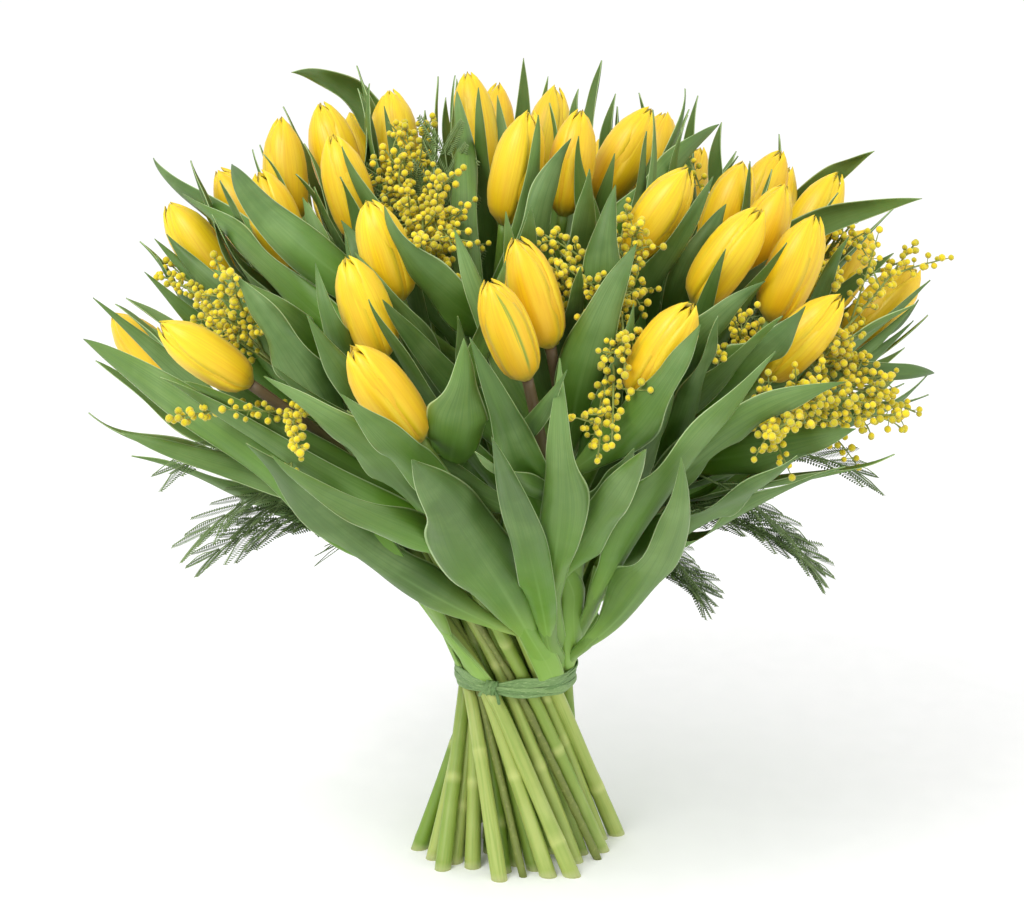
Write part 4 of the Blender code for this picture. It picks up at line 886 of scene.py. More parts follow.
# Ball flowers round the outer part of a twig, the last on its end.
def clearBalls(line, placed, owner, blooms, draw):
    way = unit(line[2] - line[1])
    found = []
    for j in range(sprigSet["ballsOnTwig"]):
        last = j == sprigSet["ballsOnTwig"] - 1
        spot = line[1] + (line[2] - line[1]) * (0.15 + 0.85 * j / (sprigSet["ballsOnTwig"] - 1))
        out = way if last else frameRound(way, draw.uniform(0, 0.8) + 2.4 * j)[0]
        beyond = -sprigSet["ballIntoTwig"] if last else sprigSet["ballOnSide"]
        centre = spot + out * (sprigSet["ballRadius"] + beyond)
        close = any(np.linalg.norm(centre - other) < 2.1 * sprigSet["ballRadius"] for other, _, _ in found)
        if close or insideBloom(centre, blooms):
            continue
        if placed.clear(ballSolid(centre, sprigSet["ballRadius"] + clearGap * 1.7, out), owner):
            found.append((centre, sprigSet["ballRadius"], out))
    return found


# A frond from the stem to its tip, touching its own stem only at the root.
def clearFrond(path, end, placed, stem, draw):
    for lift in sprigSet["frondLifts"]:
        for begin, _ in forkPoints(path, end):
            target = end + np.array([0, 0, lift * mm])
            length = np.linalg.norm(target - begin)
            way = (target - begin) / length
            sag = (upWay - way * way[2]) * 0.12 * length
            second, third = (begin + (target - begin) * share + sag for share in (0.33, 0.7))
            curve = (begin, second, third, target)
            facing = upWay + unit((end - tiePoint) * (1, 1, 0)) * draw.uniform(0.3, 0.8)
            frond = {"curve": curve, "facing": unit(facing - way * (facing @ way))}
            blade = frondSolid(**frond, begin=0.15)
            if placed.clear(frondSolid(**frond, extra=clearGap), stem) and placed.clear(blade):
                return frond
    return None


# A ring round the stems at a height, each side just outside the stem it rests on.
def bundleOutline(paths, radii, height, count, extra):
    angles = np.linspace(0, 2 * math.pi, count, endpoint=False)
    normals = np.stack([np.cos(angles), np.sin(angles)], axis=1)
    centres = np.array([stemPoint(path, height)[0][:2] for path in paths])
    slopes = np.array([stemPoint(path, height)[1] for path in paths])
    reach = centres @ normals.T
    lean = (slopes[:, :2] @ normals.T) / slopes[:, 2:]
    reach = (reach + radii[:, None] * np.sqrt(1 + lean ** 2)).max(0) + extra
    following = np.roll(np.arange(count), -1)
    step = angles[1] - angles[0]
    along = (reach[following] - reach * math.cos(step)) / math.sin(step)
    tangents = np.stack([-np.sin(angles), np.cos(angles)], axis=1)
    return normals * reach[:, None] + tangents * along[:, None]


def sprayTurn(name):  # The far spray has its pixels in a view from behind.
    return farTurn if name == "far" else 0


def layout():  # The places of blooms and stems, and the stems' groups and paths.
    centres, axes = bloomPlaces()
    draws = [random.Random(f"bloom {k}") for k in range(bloomSet["count"])]
    lengths = np.array([bloomSet["length"] * draw.uniform(0.93, 1.06) for draw in draws])
    widths = np.array([bloomSet["radius"] * draw.uniform(0.94, 1.07) for draw in draws])
    spins = [draw.uniform(0, 2 * math.pi) for draw in draws]
    openings = [draw.uniform(0, 0.16) for draw in draws]
    centres = spreadBlooms(centres, axes, lengths, widths)
    bases = centres - axes * lengths[:, None] / 2
    sprigTops = np.array([
        turned(seenAt(top, -sprigSet["topInside"]), sprayTurn(name)) for name, top, _, _ in sprigsSeen
    ])
    sprigAxes = unit(sprigTops - tiePoint)
    tops = np.concatenate([bases - axes * clearGap, sprigTops])
    ways = np.concatenate([axes, sprigAxes])
    rays = tops - tiePoint
    lean = np.arccos(rays[:, 2] / np.linalg.norm(rays, axis=1))
    around = np.arctan2(rays[:, 1], rays[:, 0]) + bunch["spiralTurn"]
    middle = int(np.argmin(lean[:bloomSet["count"]]))
    order = np.argsort(lean, kind="stable")
    rank = np.empty(len(lean))
    rank[order] = np.arange(len(lean))
    out = (bunch["waistRadius"] - stemSet["radii"][1]) * np.sqrt(rank / (len(lean) - 1))
    for ring in (order[1:9], order[9:25], order[25:]):
        ranked = ring[np.argsort(around[ring], kind="stable")]
        even = around[ranked[0]] + 2 * math.pi * np.arange(len(ranked)) / len(ranked)
        even = even + (around[ranked] - even).mean()
        around[ranked] += (even - around[ranked]) * 0.6
    out[middle] = 0
    waists = np.stack([out * np.cos(around), out * np.sin(around)], axis=1)
    kinds = (("radii", bloomSet["count"]), ("sprigRadii", len(sprigsSeen)))
    radii = np.concatenate([np.tile(stemSet[kind], (count, 1)) for kind, count in kinds])
    groups = groupStems(waists, bloomSet["count"])
    waists = packWaist(waists, radii[:, 1], groups, middle)
    short = np.zeros(len(tops))
    for k in range(bloomSet["count"]):
        if k != middle and np.linalg.norm(waists[k]) < 0.5 * bunch["waistRadius"]:
            short[k] = random.Random(f"cut {k}").uniform(0, 7) * mm
    paths = stemPaths(waists, tops, ways, short)
    inset = axes * (lengths / 2 - widths * 0.8)[:, None]
    capsules = (centres - inset, centres + inset, widths * 1.06)
    paths = bendClear(paths, radii, groups, capsules)
    return {
        "bases": bases, "axes": axes, "lengths": lengths, "widths": widths, "spins": spins,
        "openings": openings, "groups": groups, "paths": paths, "radii": radii, "capsules": capsules,
        "lines": [roundedLine(path) for path in paths],
    }


# Finer surfaces: every piece is a set of grids, worked out as whole arrays


class Surface:  # gathers grids of points with their attributes, then makes one mesh of them
    def __init__(self, name):
        self.name = name
        self.points, self.quads, self.slots, self.place, self.facts = [], [], [], [], []
        self.count = 0

    # points: rows x ring x 3, or a stack of such grids. Each row is a closed ring whose point j
    # faces point n-1-j across it. Quads join neighbouring rows all the way round, and each end is
    # filled straight across. A grid whose quads enclose a negative volume is turned round.
    def addRings(self, points, slot, place, facts=(0, 0, 0)):
        rows, ring = points.shape[-3:-1]
        points = points.reshape(-1, 3)
        index = np.arange(rows * ring).reshape(rows, ring)
        after = np.roll(index, -1, axis=1)
        sides = np.stack([index[:-1], after[:-1], after[1:], index[1:]], axis=-1).reshape(-1, 4)
        half = np.arange(ring // 2 - 1)
        first = np.stack([half, ring - 1 - half, ring - 2 - half, half + 1], axis=-1)
        last = first[:, ::-1] + (rows - 1) * ring
        quads = np.concatenate([sides, first, last])
        starts = np.arange(0, len(points), rows * ring)
        quads = quads[None] + starts[:, None, None]
        corners = points[quads]
        areas = np.cross(corners[..., 2, :] - corners[..., 0, :], corners[..., 3, :] - corners[..., 1, :])
        inward = (corners.mean(2) * areas).sum((1, 2)) < 0
        quads[inward] = quads[inward][..., ::-1]
        self.points.append(points)
        self.quads.append(quads.reshape(-1, 4) + self.count)
        self.slots.append(np.full(quads.size // 4, slot))
        self.place.append(np.broadcast_to(place, (len(points), 3)))
        self.facts.append(np.broadcast_to(facts, (len(points), 3)))
        self.count += len(points)

    def addBar(self, line, radii, sides, slot, tone, level=False):  # a round bar
        self.addRings(barRings(line, radii, sides, level), slot, barPlace(len(line), sides, tone))

    def make(self, materials, node):  # one mesh, with place and facts as its attributes
        points = np.concatenate(self.points)
        quads = np.concatenate(self.quads)
        mesh = bpy.data.meshes.new(self.name)
        mesh.vertices.add(len(points))
        mesh.vertices.foreach_set("co", points.astype(np.float32).ravel())
        mesh.loops.add(quads.size)
        mesh.loops.foreach_set("vertex_index", quads.astype(np.int32).ravel())
        mesh.polygons.add(len(quads))
        mesh.polygons.foreach_set("loop_start", np.arange(0, quads.size, 4, dtype=np.int32))
        mesh.polygons.foreach_set("material_index", np.concatenate(self.slots).astype(np.int32))
        mesh.polygons.foreach_set("use_smooth", np.ones(len(quads), bool))
        for label, values in (("place", self.place), ("facts", self.facts)):
            layer = mesh.attributes.new(label, "FLOAT_VECTOR", "POINT")
            layer.data.foreach_set("vector", np.concatenate(values).astype(np.float32).ravel())
        mesh.update(calc_edges=True)
        mesh.validate()
        for material in materials:
            mesh.materials.append(material)
        piece = bpy.data.objects.new(self.name, mesh)
        bpy.context.scene.collection.objects.link(piece)
        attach(piece, "root")
        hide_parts(node)


# Catmull-Rom spline: a smooth line through all of the points, at count places evenly spread
def smoothLine(points, count):
    ends = np.vstack([2 * points[:1] - points[1:2], points, 2 * points[-1:] - points[-2:-1]])
    t = np.linspace(0, len(points) - 1, count)
    k = np.minimum(t.astype(int), len(points) - 2)
    u = (t - k)[:, None]
    a, b, c, d = ends[k], ends[k + 1], ends[k + 2], ends[k + 3]
    square, cube = 2 * a - 5 * b + 4 * c - d, 3 * b - a - 3 * c + d
    return 0.5 * (2 * b + (c - a) * u + square * u * u + cube * u ** 3)


# Rings of a round bar along a smooth line
def barRings(line, radii, sides, level=False):
    along = unit(np.gradient(line, axis=0))
    side = unit(np.cross(along, np.eye(3)[np.argmin(abs(line[-1] - line[0]))]))
    turn = (np.arange(sides) + 0.5) * 2 * math.pi / sides
    return ringsRound(line, along, side, turn, np.broadcast_to(radii, len(line)), level)


# Place values of a bar: turn round it, share of its length, tone
def barPlace(rows, sides, tone):
    values = (np.arange(sides) / sides, np.linspace(0, 1, rows)[:, None], tone)
    return np.stack([np.broadcast_to(value, (rows, sides)) for value in values], axis=-1).reshape(-1, 3)


# Materials


class Value:  # a socket, so that shader maths reads as plain expressions
    def __init__(self, shade, socket):
        self.shade, self.socket = shade, socket

    def math(self, operation, *others):
        return self.shade.node("ShaderNodeMath", {"operation": operation}, dict(enumerate((self, *others))))

    def __add__(self, other):
        return self.math("ADD", other)

    def __mul__(self, other):
        return self.math("MULTIPLY", other)

    def __sub__(self, other):
        return self.math("SUBTRACT", other)

    def __rsub__(self, other):
        return self * -1 + other

    def __abs__(self):
        return self.math("ABSOLUTE")

    def sin(self):
        return self.math("SINE")

    __radd__, __rmul__ = __add__, __mul__

    def ramp(self, low, high, start=0.0, end=1.0):  # smooth step from one value to another
        return self.shade.node("ShaderNodeMapRange", {"interpolation_type": "SMOOTHSTEP"},
                               {0: self, 1: low, 2: high, 3: start, 4: end})


class Shade:  # one material and its nodes
    def __init__(self, name, **settings):
        self.material = bpy.data.materials.new(name)
        self.material.use_nodes = True
        self.tree = self.material.node_tree
        self.surface = self.tree.nodes["Principled BSDF"]
        for label, value in settings.items():
            self.surface.inputs[label.replace("_", " ")].default_value = value

    def node(self, kind, settings, inputs, out=0):  # any node, its settings first
        made = self.tree.nodes.new(kind)
        for label, value in settings.items():
            setattr(made, label, value)
        for label, value in inputs.items():
            self.feed(made.inputs[label], value)
        return Value(self, made.outputs[out])

    def feed(self, socket, value):  # by a link or a value
        if isinstance(value, Value):
            self.tree.links.new(value.socket, socket)
        else:
            socket.default_value = value

    def attribute(self, name):  # its three values
        vector = self.node("ShaderNodeAttribute", {"attribute_name": name}, {}, 1)
        return [self.node("ShaderNodeSeparateXYZ", {}, {0: vector}, k) for k in range(3)]

    def noise(self, vector, scale):
        return self.node("ShaderNodeTexNoise", {}, {"Vector": vector, "Scale": scale, "Detail": 3.0})

    def spots(self, scale):  # noise in the object's own coordinates
        return self.noise(self.node("ShaderNodeTexCoord", {}, {}, 3), scale)

    def streaks(self, x, y, z):  # noise over values that follow the surface
        return self.noise(self.node("ShaderNodeCombineXYZ", {}, {0: x, 1: y, 2: z}), 1.0)

    def mix(self, share, first, second):
        return self.node("ShaderNodeMix", {"data_type": "RGBA"}, {0: share, 6: first, 7: second}, 2)

    def coats(self, first, *layers):  # each colour laid over those before it, by its own share
        colour = rgb(*first)
        for share, over in layers:
            colour = self.mix(share, colour, rgb(*over))
        return colour

    def finish(self, colour, roughness=None, height=None, strength=0.3, reach=0.4 * mm):
        self.feed(self.surface.inputs["Base Color"], colour)
        if roughness is not None:
            self.feed(self.surface.inputs["Roughness"], roughness)
        if height is not None:
            inputs = {"Height": height, "Strength": strength, "Distance": reach}
            self.feed(self.surface.inputs["Normal"], self.node("ShaderNodeBump", {}, inputs))
        return self.material


def rgb(red, green, blue):  # a colour as read from a screen, 0 to 255, as the shader wants it
    return (*(((c / 255 + 0.055) / 1.055) ** 2.4 if c > 10 else c / 3295 for c in (red, green, blue)), 1)


# Petal: warm yellow, paler along the edges and greener at the foot, fine veins along it, and deeper gold over
# the lower part as painted shade.
# place = (across, along, tone), facts = (1 on an outer tepal, green streak, random)
def petalMaterial():
    shade = Shade("petal", Subsurface_Weight=0.2, Subsurface_Scale=4 * mm, Sheen_Weight=0.1)
    shade.surface.inputs["Subsurface Radius"].default_value = (1.0, 0.7, 0.2)
    across, along, tone = shade.attribute("place")
    outer, streak, number = shade.attribute("facts")
    vein = shade.streaks(across * 16, along * 1.5, tone * 40 + number * 9)
    broad = shade.streaks(across * 3, along * 2, number * 30)
    middle = abs(across).ramp(0.3, 0.02) * along.ramp(0.75, 0.3)
    flame = abs(across - 0.3).ramp(0.15, 0.03) * along.ramp(0.98, 0.85) * along.ramp(0.05, 0.25)
    colour = shade.coats(
        (240, 190, 4),
        (tone.ramp(0, 1), (247, 208, 12)),
        (vein.ramp(0.35, 0.7) * 0.5, (226, 162, 0)),
        # painted shade: deeper gold over the lower part of each tepal
        (broad.ramp(0.4, 0.75) * 0.35, (252, 218, 20)),
        (along.ramp(0.6, 0.2) * 0.4, (236, 172, 2)),
        (abs(across).ramp(0.6, 1.0) * 0.5, (252, 224, 30)),
        (along.ramp(0.88, 1.0) * 0.5, (252, 222, 24)),
        (along.ramp(0.16, 0.0) * 0.6, (196, 180, 30)),
        (middle * outer * 0.16, (206, 178, 20)),
        (flame * streak * vein.ramp(0.3, 0.55), (126, 150, 38)),
    )
    return shade.finish(colour, vein.ramp(0.3, 0.7, 0.38, 0.5), vein, 0.25, 0.3 * mm)


# Leaf: blue-green with a waxy bloom whose pale patches are partly a painted sheen, parallel veins, a pale
# edge and a yellow-green foot.
# place = (across, along, tone), facts = (1 on the upper face, half width over 20 mm, random)
def leafMaterial():
    shade = Shade("leaf", Subsurface_Weight=0.06, Subsurface_Scale=3 * mm, Specular_IOR_Level=0.45)
    across, along, tone = shade.attribute("place")
    upper, width, number = shade.attribute("facts")
    vein = shade.streaks(across * width * 26, along * 2.2, number * 50)
    broad = shade.streaks(across * 2.2, along * 3, number * 20)
    waxAndSheen = shade.spots(38.0)
    fresh = number.ramp(0.25, 0.7) * along.ramp(0.75, 0.25)
    colour = shade.coats(
        (66, 97, 34),
        (tone.ramp(0, 1), (95, 128, 50)),
        (broad.ramp(0.35, 0.7) * 0.6, (86, 118, 52)),
        # pale patches: partly the leaf's own wax bloom, partly a painted sheen
        (waxAndSheen.ramp(0.4, 0.72) * 0.5, (122, 151, 90)),
        (vein.ramp(0.4, 0.66) * 0.35, (60, 96, 36)),
        (fresh * 0.9, (84, 130, 18)),
        ((1 - upper) * 0.3, (119, 147, 78)),
        (abs(across).ramp(0.93, 0.975) * 0.85, (182, 206, 148)),
        (abs(across).ramp(0.1, 0.0) * along.ramp(0.6, 0.1) * 0.3, (146, 182, 108)),
        (along.ramp(0.3, 0.0) * 0.85, (146, 184, 84)),
        (along.ramp(0.1, 0.0) * 0.8, (172, 198, 108)),
    )
    rough = waxAndSheen.ramp(0.3, 0.7, 0.46, 0.6)
    return shade.finish(colour, rough, vein, 0.3, 0.35 * mm)


# Stem: pale green, lighter towards the cut, browner under some blooms; a pale cut face.
# place = (turn, along, tone), facts = (1 at a joint, brown under the bloom, random)
def stemMaterial():
    shade = Shade("stem", Subsurface_Weight=0.08, Subsurface_Scale=3 * mm)
    turn, along, tone = shade.attribute("place")
    joint, brown, number = shade.attribute("facts")
    fibre = shade.streaks((turn * 6.283).sin() * 4, along * 9, number * 60)
    patch = shade.spots(26.0)
    colour = shade.coats(
        (114, 146, 44),
        (tone.ramp(0, 1), (168, 182, 94)),
        (fibre.ramp(0.4, 0.7) * 0.4, (108, 146, 46)),
        (patch.ramp(0.5, 0.75) * 0.4, (186, 197, 122)),
        (joint.ramp(0.3, 1) * 0.5, (204, 210, 130)),
        (along.ramp(0.3, 0.6) * 0.5, (94, 134, 46)),
        (along.ramp(0.6, 0.95) * brown, (104, 78, 62)),
        (along.ramp(0.012, 0.0) * 0.7, (206, 212, 150)),
    )
    return shade.finish(colour, fibre.ramp(0.3, 0.7, 0.4, 0.55), fibre, 0.25, 0.3 * mm)


# Mimosa flower: a downy ball, with painted shade darkening the lower part of each ball. place = (0, height on
# the ball, tone)
def ballMaterial():
    shade = Shade("mimosaFlower", Roughness=0.85, Subsurface_Weight=0.2, Subsurface_Scale=1.5 * mm,
                  Sheen_Weight=0.4)
    _, side, tone = shade.attribute("place")
    down = shade.spots(2600.0)
    colour = shade.coats(
        (184, 172, 6),
        (tone.ramp(0, 1), (232, 208, 8)),
        (down.ramp(0.4, 0.7) * 0.45, (242, 226, 30)),
        # painted shade: darker olive towards the underside of each ball
        (side.ramp(0.6, 0.0) * 0.4, (124, 122, 14)),
    )
    return shade.finish(colour, None, down, 0.8, 0.3 * mm)


# Mimosa wood: green on the young twigs, brown on the old stem. place = (turn, along, tone)
def woodMaterial():
    shade = Shade("mimosaWood")
    turn, along, tone = shade.attribute("place")
    bark = shade.spots(420.0)
    lines = shade.streaks((turn * 6.283).sin() * 3, along * 30, tone * 12)
    colour = shade.coats(
        (112, 124, 54),
        (tone.ramp(0, 1), (134, 150, 66)),
        (lines.ramp(0.45, 0.7) * 0.5, (92, 88, 48)),
        (bark.ramp(0.5, 0.8) * 0.5, (160, 162, 100)),
    )
    return shade.finish(colour, bark.ramp(0.3, 0.7, 0.5, 0.7), bark + lines, 0.4, 0.3 * mm)


# Mimosa frond: dull grey-green leaflets. place = (pair, along, tone)
def frondMaterial():
    shade = Shade("mimosaFrond", Roughness=0.6)
    pair, along, tone = shade.attribute("place")
    patch = shade.spots(180.0)
    colour = shade.coats(
        (84, 110, 58),
        (tone.ramp(0, 1), (128, 152, 90)),
        (patch.ramp(0.4, 0.7) * 0.5, (94, 122, 72)),
        (along.ramp(0.8, 1.0) * 0.3, (138, 156, 104)),
    )
    return shade.finish(colour, None, patch, 0.2, 0.2 * mm)


# Raffia: dyed green fibre with pale worn lines. place = (across, along, tone)
def raffiaMaterial():
    shade = Shade("raffia")
    across, along, tone = shade.attribute("place")
    fibre = shade.streaks(across * 14, along * 40, tone * 30)
    fold = shade.streaks(across * 4, along * 90, tone * 17)
    colour = shade.coats(
        (96, 134, 72),
        (tone.ramp(0, 1), (136, 168, 104)),
        (fibre.ramp(0.4, 0.66) * 0.5, (72, 108, 56)),
        (fold.ramp(0.5, 0.75) * 0.6, (172, 196, 138)),
    )
    return shade.finish(colour, fold.ramp(0.3, 0.7, 0.5, 0.7), fibre + fold, 0.5, 0.4 * mm)


# Tulip blooms

# Radius up the bud as a share of the bloom's, and half width round it as a share of halfTurn
tepalShape = {
    "rows": 18,
    "points": 9,                # across
    "wall": 0.4 * mm,
    "halfTurn": np.radians(57),
    "along": (0, 0.04, 0.10, 0.17, 0.30, 0.44, 0.56, 0.68, 0.79, 0.88, 0.95, 1.0),
    "radius": (0.17, 0.42, 0.64, 0.76, 0.86, 0.89, 0.88, 0.82, 0.7, 0.52, 0.34, 0.13),
    "width": (0.85, 0.92, 0.97, 1.0, 1.0, 1.0, 1.0, 0.97, 0.92, 0.8, 0.58, 0.16),
    "ridge": 0.03,
    "ripple": 0.012,
    "innerScale": 0.965,
    "innerRise": 0.985,
    "streaked": (17, 18),       # blooms with a green streak
}


# One tepal, wrapped round the bud: at height s its middle is radius(s) from the axis and its
# edges lie width(s) x halfTurn to each side; a ridge runs up its middle, its edges hug the bud,
# and small waves run along them
def tepalRings(k, plan, angle, inner, draw):
    axis = plan["axes"][k]
    across, other = frameRound(axis, plan["spins"][k])
    s = (np.linspace(0, 1, tepalShape["rows"]) ** 0.9)[:, None]
    v = np.linspace(-1, 1, tepalShape["points"])[None]
    opening = plan["openings"][k] * 0.35 + draw.uniform(-0.02, 0.02)
    tall = draw.uniform(0.975, 1.0)
    radius = np.interp(s, tepalShape["along"], tepalShape["radius"]) + opening * np.maximum(0, s - 0.5) * 2
    width = np.interp(s, tepalShape["along"], tepalShape["width"])
    turn = np.radians(angle + draw.uniform(-3, 3)) + width * v * tepalShape["halfTurn"]
    ripple = tepalShape["ripple"] * np.sin(9 * s + draw.uniform(0, 6)) * v ** 2
    ridge = tepalShape["ridge"] * np.exp(-(v / 0.22) ** 2) * np.sin(math.pi * np.minimum(s * 1.1, 1))
    flare = -0.012 * abs(v) ** 3 * np.sin(math.pi * s) * (1 - inner)
    curl = 0.015 * np.maximum(0, s - 0.9) * 10 * draw.uniform(-1, 1)
    if inner:  # the inner three close the mouth
        radius = radius * (1 - 0.1 * np.clip((s - 0.85) / 0.15, 0, 1))
        radius = radius * (1 - np.clip((s - 0.95) / 0.055, 0, 1) ** 2)
        width = np.maximum(width, 1.04 * np.clip((s - 0.75) / 0.1, 0, 1))
    scale = plan["widths"][k] * (tepalShape["innerScale"] if inner else 1)
    out = (radius + ridge + flare + ripple + curl) * scale
    rise = (tepalShape["innerRise"] if inner else 1) * plan["lengths"][k] * tall * (s - 0.035 * v ** 2 * s)
    rays = np.cos(turn)[..., None] * across + np.sin(turn)[..., None] * other
    wall = tepalShape["wall"] * (1 - 0.7 * v ** 4)
    middle = plan["bases"][k] + axis * rise[..., None]
    outerFace = middle + rays * out[..., None]
    innerFace = middle + rays * (out - wall)[..., None]
    return np.concatenate([outerFace, innerFace[:, ::-1]], axis=1), s, v


def bladePlace(s, v, tone):  # place values of a two-faced blade: across, along, tone
    across = np.concatenate([v, v[:, ::-1]], axis=1)
    return np.stack(np.broadcast_arrays(across, s, tone), axis=-1).reshape(-1, 3)


def makeBlooms(plan, petal):  # six tepals a bloom; a streak on the first of the outer ones
    for k in range(bloomSet["count"]):
        draw = random.Random(f"petals {k}")
        surface = Surface(f"bloom{k + 1:02d}")
        tone, number = draw.random(), draw.random()
        streaked = 1.0 if k in tepalShape["streaked"] else draw.uniform(0, 0.25)
        for third in range(3):
            for inner in (0, 1):
                rings, s, v = tepalRings(k, plan, 120 * third + 60 * inner, inner, draw)
                place = bladePlace(s, v, tone)
                surface.addRings(rings, 0, place, (1 - inner, streaked * (1 - inner) * (third == 0), number))
        surface.make([petal], f"tulip_bloom_{k + 1:02d}")


# Stems and leaves


fineStem = {
    "sides": 12,
    "rows": 72,
    "corner": 46 * mm,          # length over which a bend is rounded
    "samples": 400,             # along a path, to average
    "joint": 0.07,              # how far a joint swells
    "brown": (0, 17, 18),       # stems that are brown under the bloom
}


# A path with its corners rounded: points even along it, then a moving average over a length
def roundedLine(path):
    steps = np.linalg.norm(np.diff(path, axis=0), axis=1)
    reach = np.concatenate([[0], np.cumsum(steps)])
    pad = fineStem["corner"] / 2
    spots = np.linspace(-pad, reach[-1] + pad, fineStem["samples"])
    first, last = unit(path[1] - path[0]), unit(path[-1] - path[-2])
    line = np.stack([np.interp(spots, reach, path[:, axis]) for axis in range(3)], axis=1)
    line += np.minimum(spots, 0)[:, None] * first + np.maximum(spots - reach[-1], 0)[:, None] * last
    span = max(1, round(fineStem["corner"] / (spots[1] - spots[0])))
    total = np.vstack([np.zeros(3), np.cumsum(line, axis=0)])
    mean = (total[span:] - total[:-span]) / span
    keep = np.linspace(0, len(mean) - 1, fineStem["rows"])
    low = keep.astype(int)
    return mean[low] + (mean[np.minimum(low + 1, len(mean) - 1)] - mean[low]) * (keep - low)[:, None]


fineBlade = {
    "rows": 42,
    "points": 11,               # across
    "fuller": 2.1,              # how full the outline stays towards the tip, 1.5 on the plain solids
    "hook": 9 * mm,             # how far a tip may turn over
    "hookFrom": 0.78,
    "margin": 3.6 * mm,         # waves of its own on each edge
    "marginOf": 13 * mm,        # half width from which these are full
    "sway": 0.12,               # of the outline
    "groove": 0.5 * mm,
    "thinEdge": 0.7,            # how much thinner the edges are
}


# The same blade as the plain solid's, on a finer grid: the width bends into an arc across, each
# edge has waves of its own on the blade's, the outline sways, a groove runs down the middle, and
# the edges thin out
def fineLeaf(leaf, draw):
    s = 0.004 + 0.992 * np.linspace(0, 1, fineBlade["rows"])[:, None] ** 0.95
    v = np.linspace(-1, 1, fineBlade["points"])
    v = (np.sign(v) * abs(v) ** 0.85)[None]
    across, normal = bladeWays(leaf, unit(bezierSlope(leaf["curve"], s)), s)
    taper = np.maximum(0, (s - leafSet["widest"]) / (1 - leafSet["widest"]))
    outline = leafOutline(s) * (1 - taper ** fineBlade["fuller"]) / np.maximum(1 - taper ** 1.5, 0.001)
    outline = outline * np.minimum(1, s / 0.06) ** 0.6
    hand = v > 0
    sway = [np.sin(draw.uniform(9, 15) * s + draw.uniform(0, 6)) for _ in range(2)]
    sway = 1 + fineBlade["sway"] * np.where(hand, *sway) * np.minimum((1 - s) * 4, 1)
    width = (leaf["width"] * outline * sway)[..., None]
    curl, wave = bladeBends(leaf, s)
    line, across, normal = bezier(leaf["curve"], s)[:, None], across[:, None], normal[:, None]
    bent = curl * v[..., None]
    surface = bentAcross(line, across, normal, width, bent, curl)
    waves = [np.sin(draw.uniform(13, 22) * s + draw.uniform(0, 6)) for _ in range(2)]
    ripple = fineBlade["margin"] * np.where(hand, *waves) * abs(v) ** 2.4 * np.minimum(s * 5, 1)
    ripple = ripple * min(1, leaf["width"] / fineBlade["marginOf"]) ** 1.5
    groove = -fineBlade["groove"] * np.exp(-(v / 0.1) ** 2)
    hook = fineBlade["hook"] * draw.uniform(-1, 0.6) * np.maximum(0, s - fineBlade["hookFrom"]) ** 2 / 0.05
    lift = wave * v ** 2 * outline + ripple * outline + groove * outline + hook
    surface = surface + normal * lift[..., None]
    facing = normal * np.cos(bent) + across * np.sin(bent)
    half = (leafSet["blade"] / 2 * (1 - fineBlade["thinEdge"] * v ** 4))[..., None]
    return twoFaced(surface, facing * half), s, v


footSet = {
    "upTo": 100 * mm,           # above the tie, of the leaves that have one
    "inside": 11 * mm,          # of the bundle's outside, at most
    "width": (5, 7.5),
    "lift": (0.4, 2.4),
    "slack": 12 * mm,           # height over which it rises off the stems
    "sunk": 0.7 * mm,           # into the bundle, under the tie
    "step": 15 * mm,            # between the places that shape it
    "endings": ((0.1, 0.5 * mm), (0.22, -0.9 * mm)),  # places on the blade, and how far off it
    "halfThick": 0.35 * mm,
    "rows": 26,
    "points": 9,                # across
}


def ringReach(ring, turns):  # how far a ring lies from the axis, at turns round it
    around = np.arctan2(ring[:, 1], ring[:, 0])
    return np.interp(turns, around, np.linalg.norm(ring, axis=1), period=2 * math.pi)


class Bundle:  # how far the stems reach at a turn and a height above the tie

    def __init__(self, lines, radii):
        self.levels = bunch["tieHeight"] + np.linspace(0, 1.2, 10) * footSet["upTo"]
        self.turns = np.linspace(0, 2 * math.pi, 97)
        self.rows = []
        for level in self.levels:
            self.rows.append(ringReach(bundleOutline(lines, radii, level, 48, 0), self.turns))

    def reach(self, point):  # between its levels
        turn = math.atan2(point[1], point[0])
        column = [np.interp(turn, self.turns, row, period=2 * math.pi) for row in self.rows]
        return np.interp(point[2], self.levels, column)


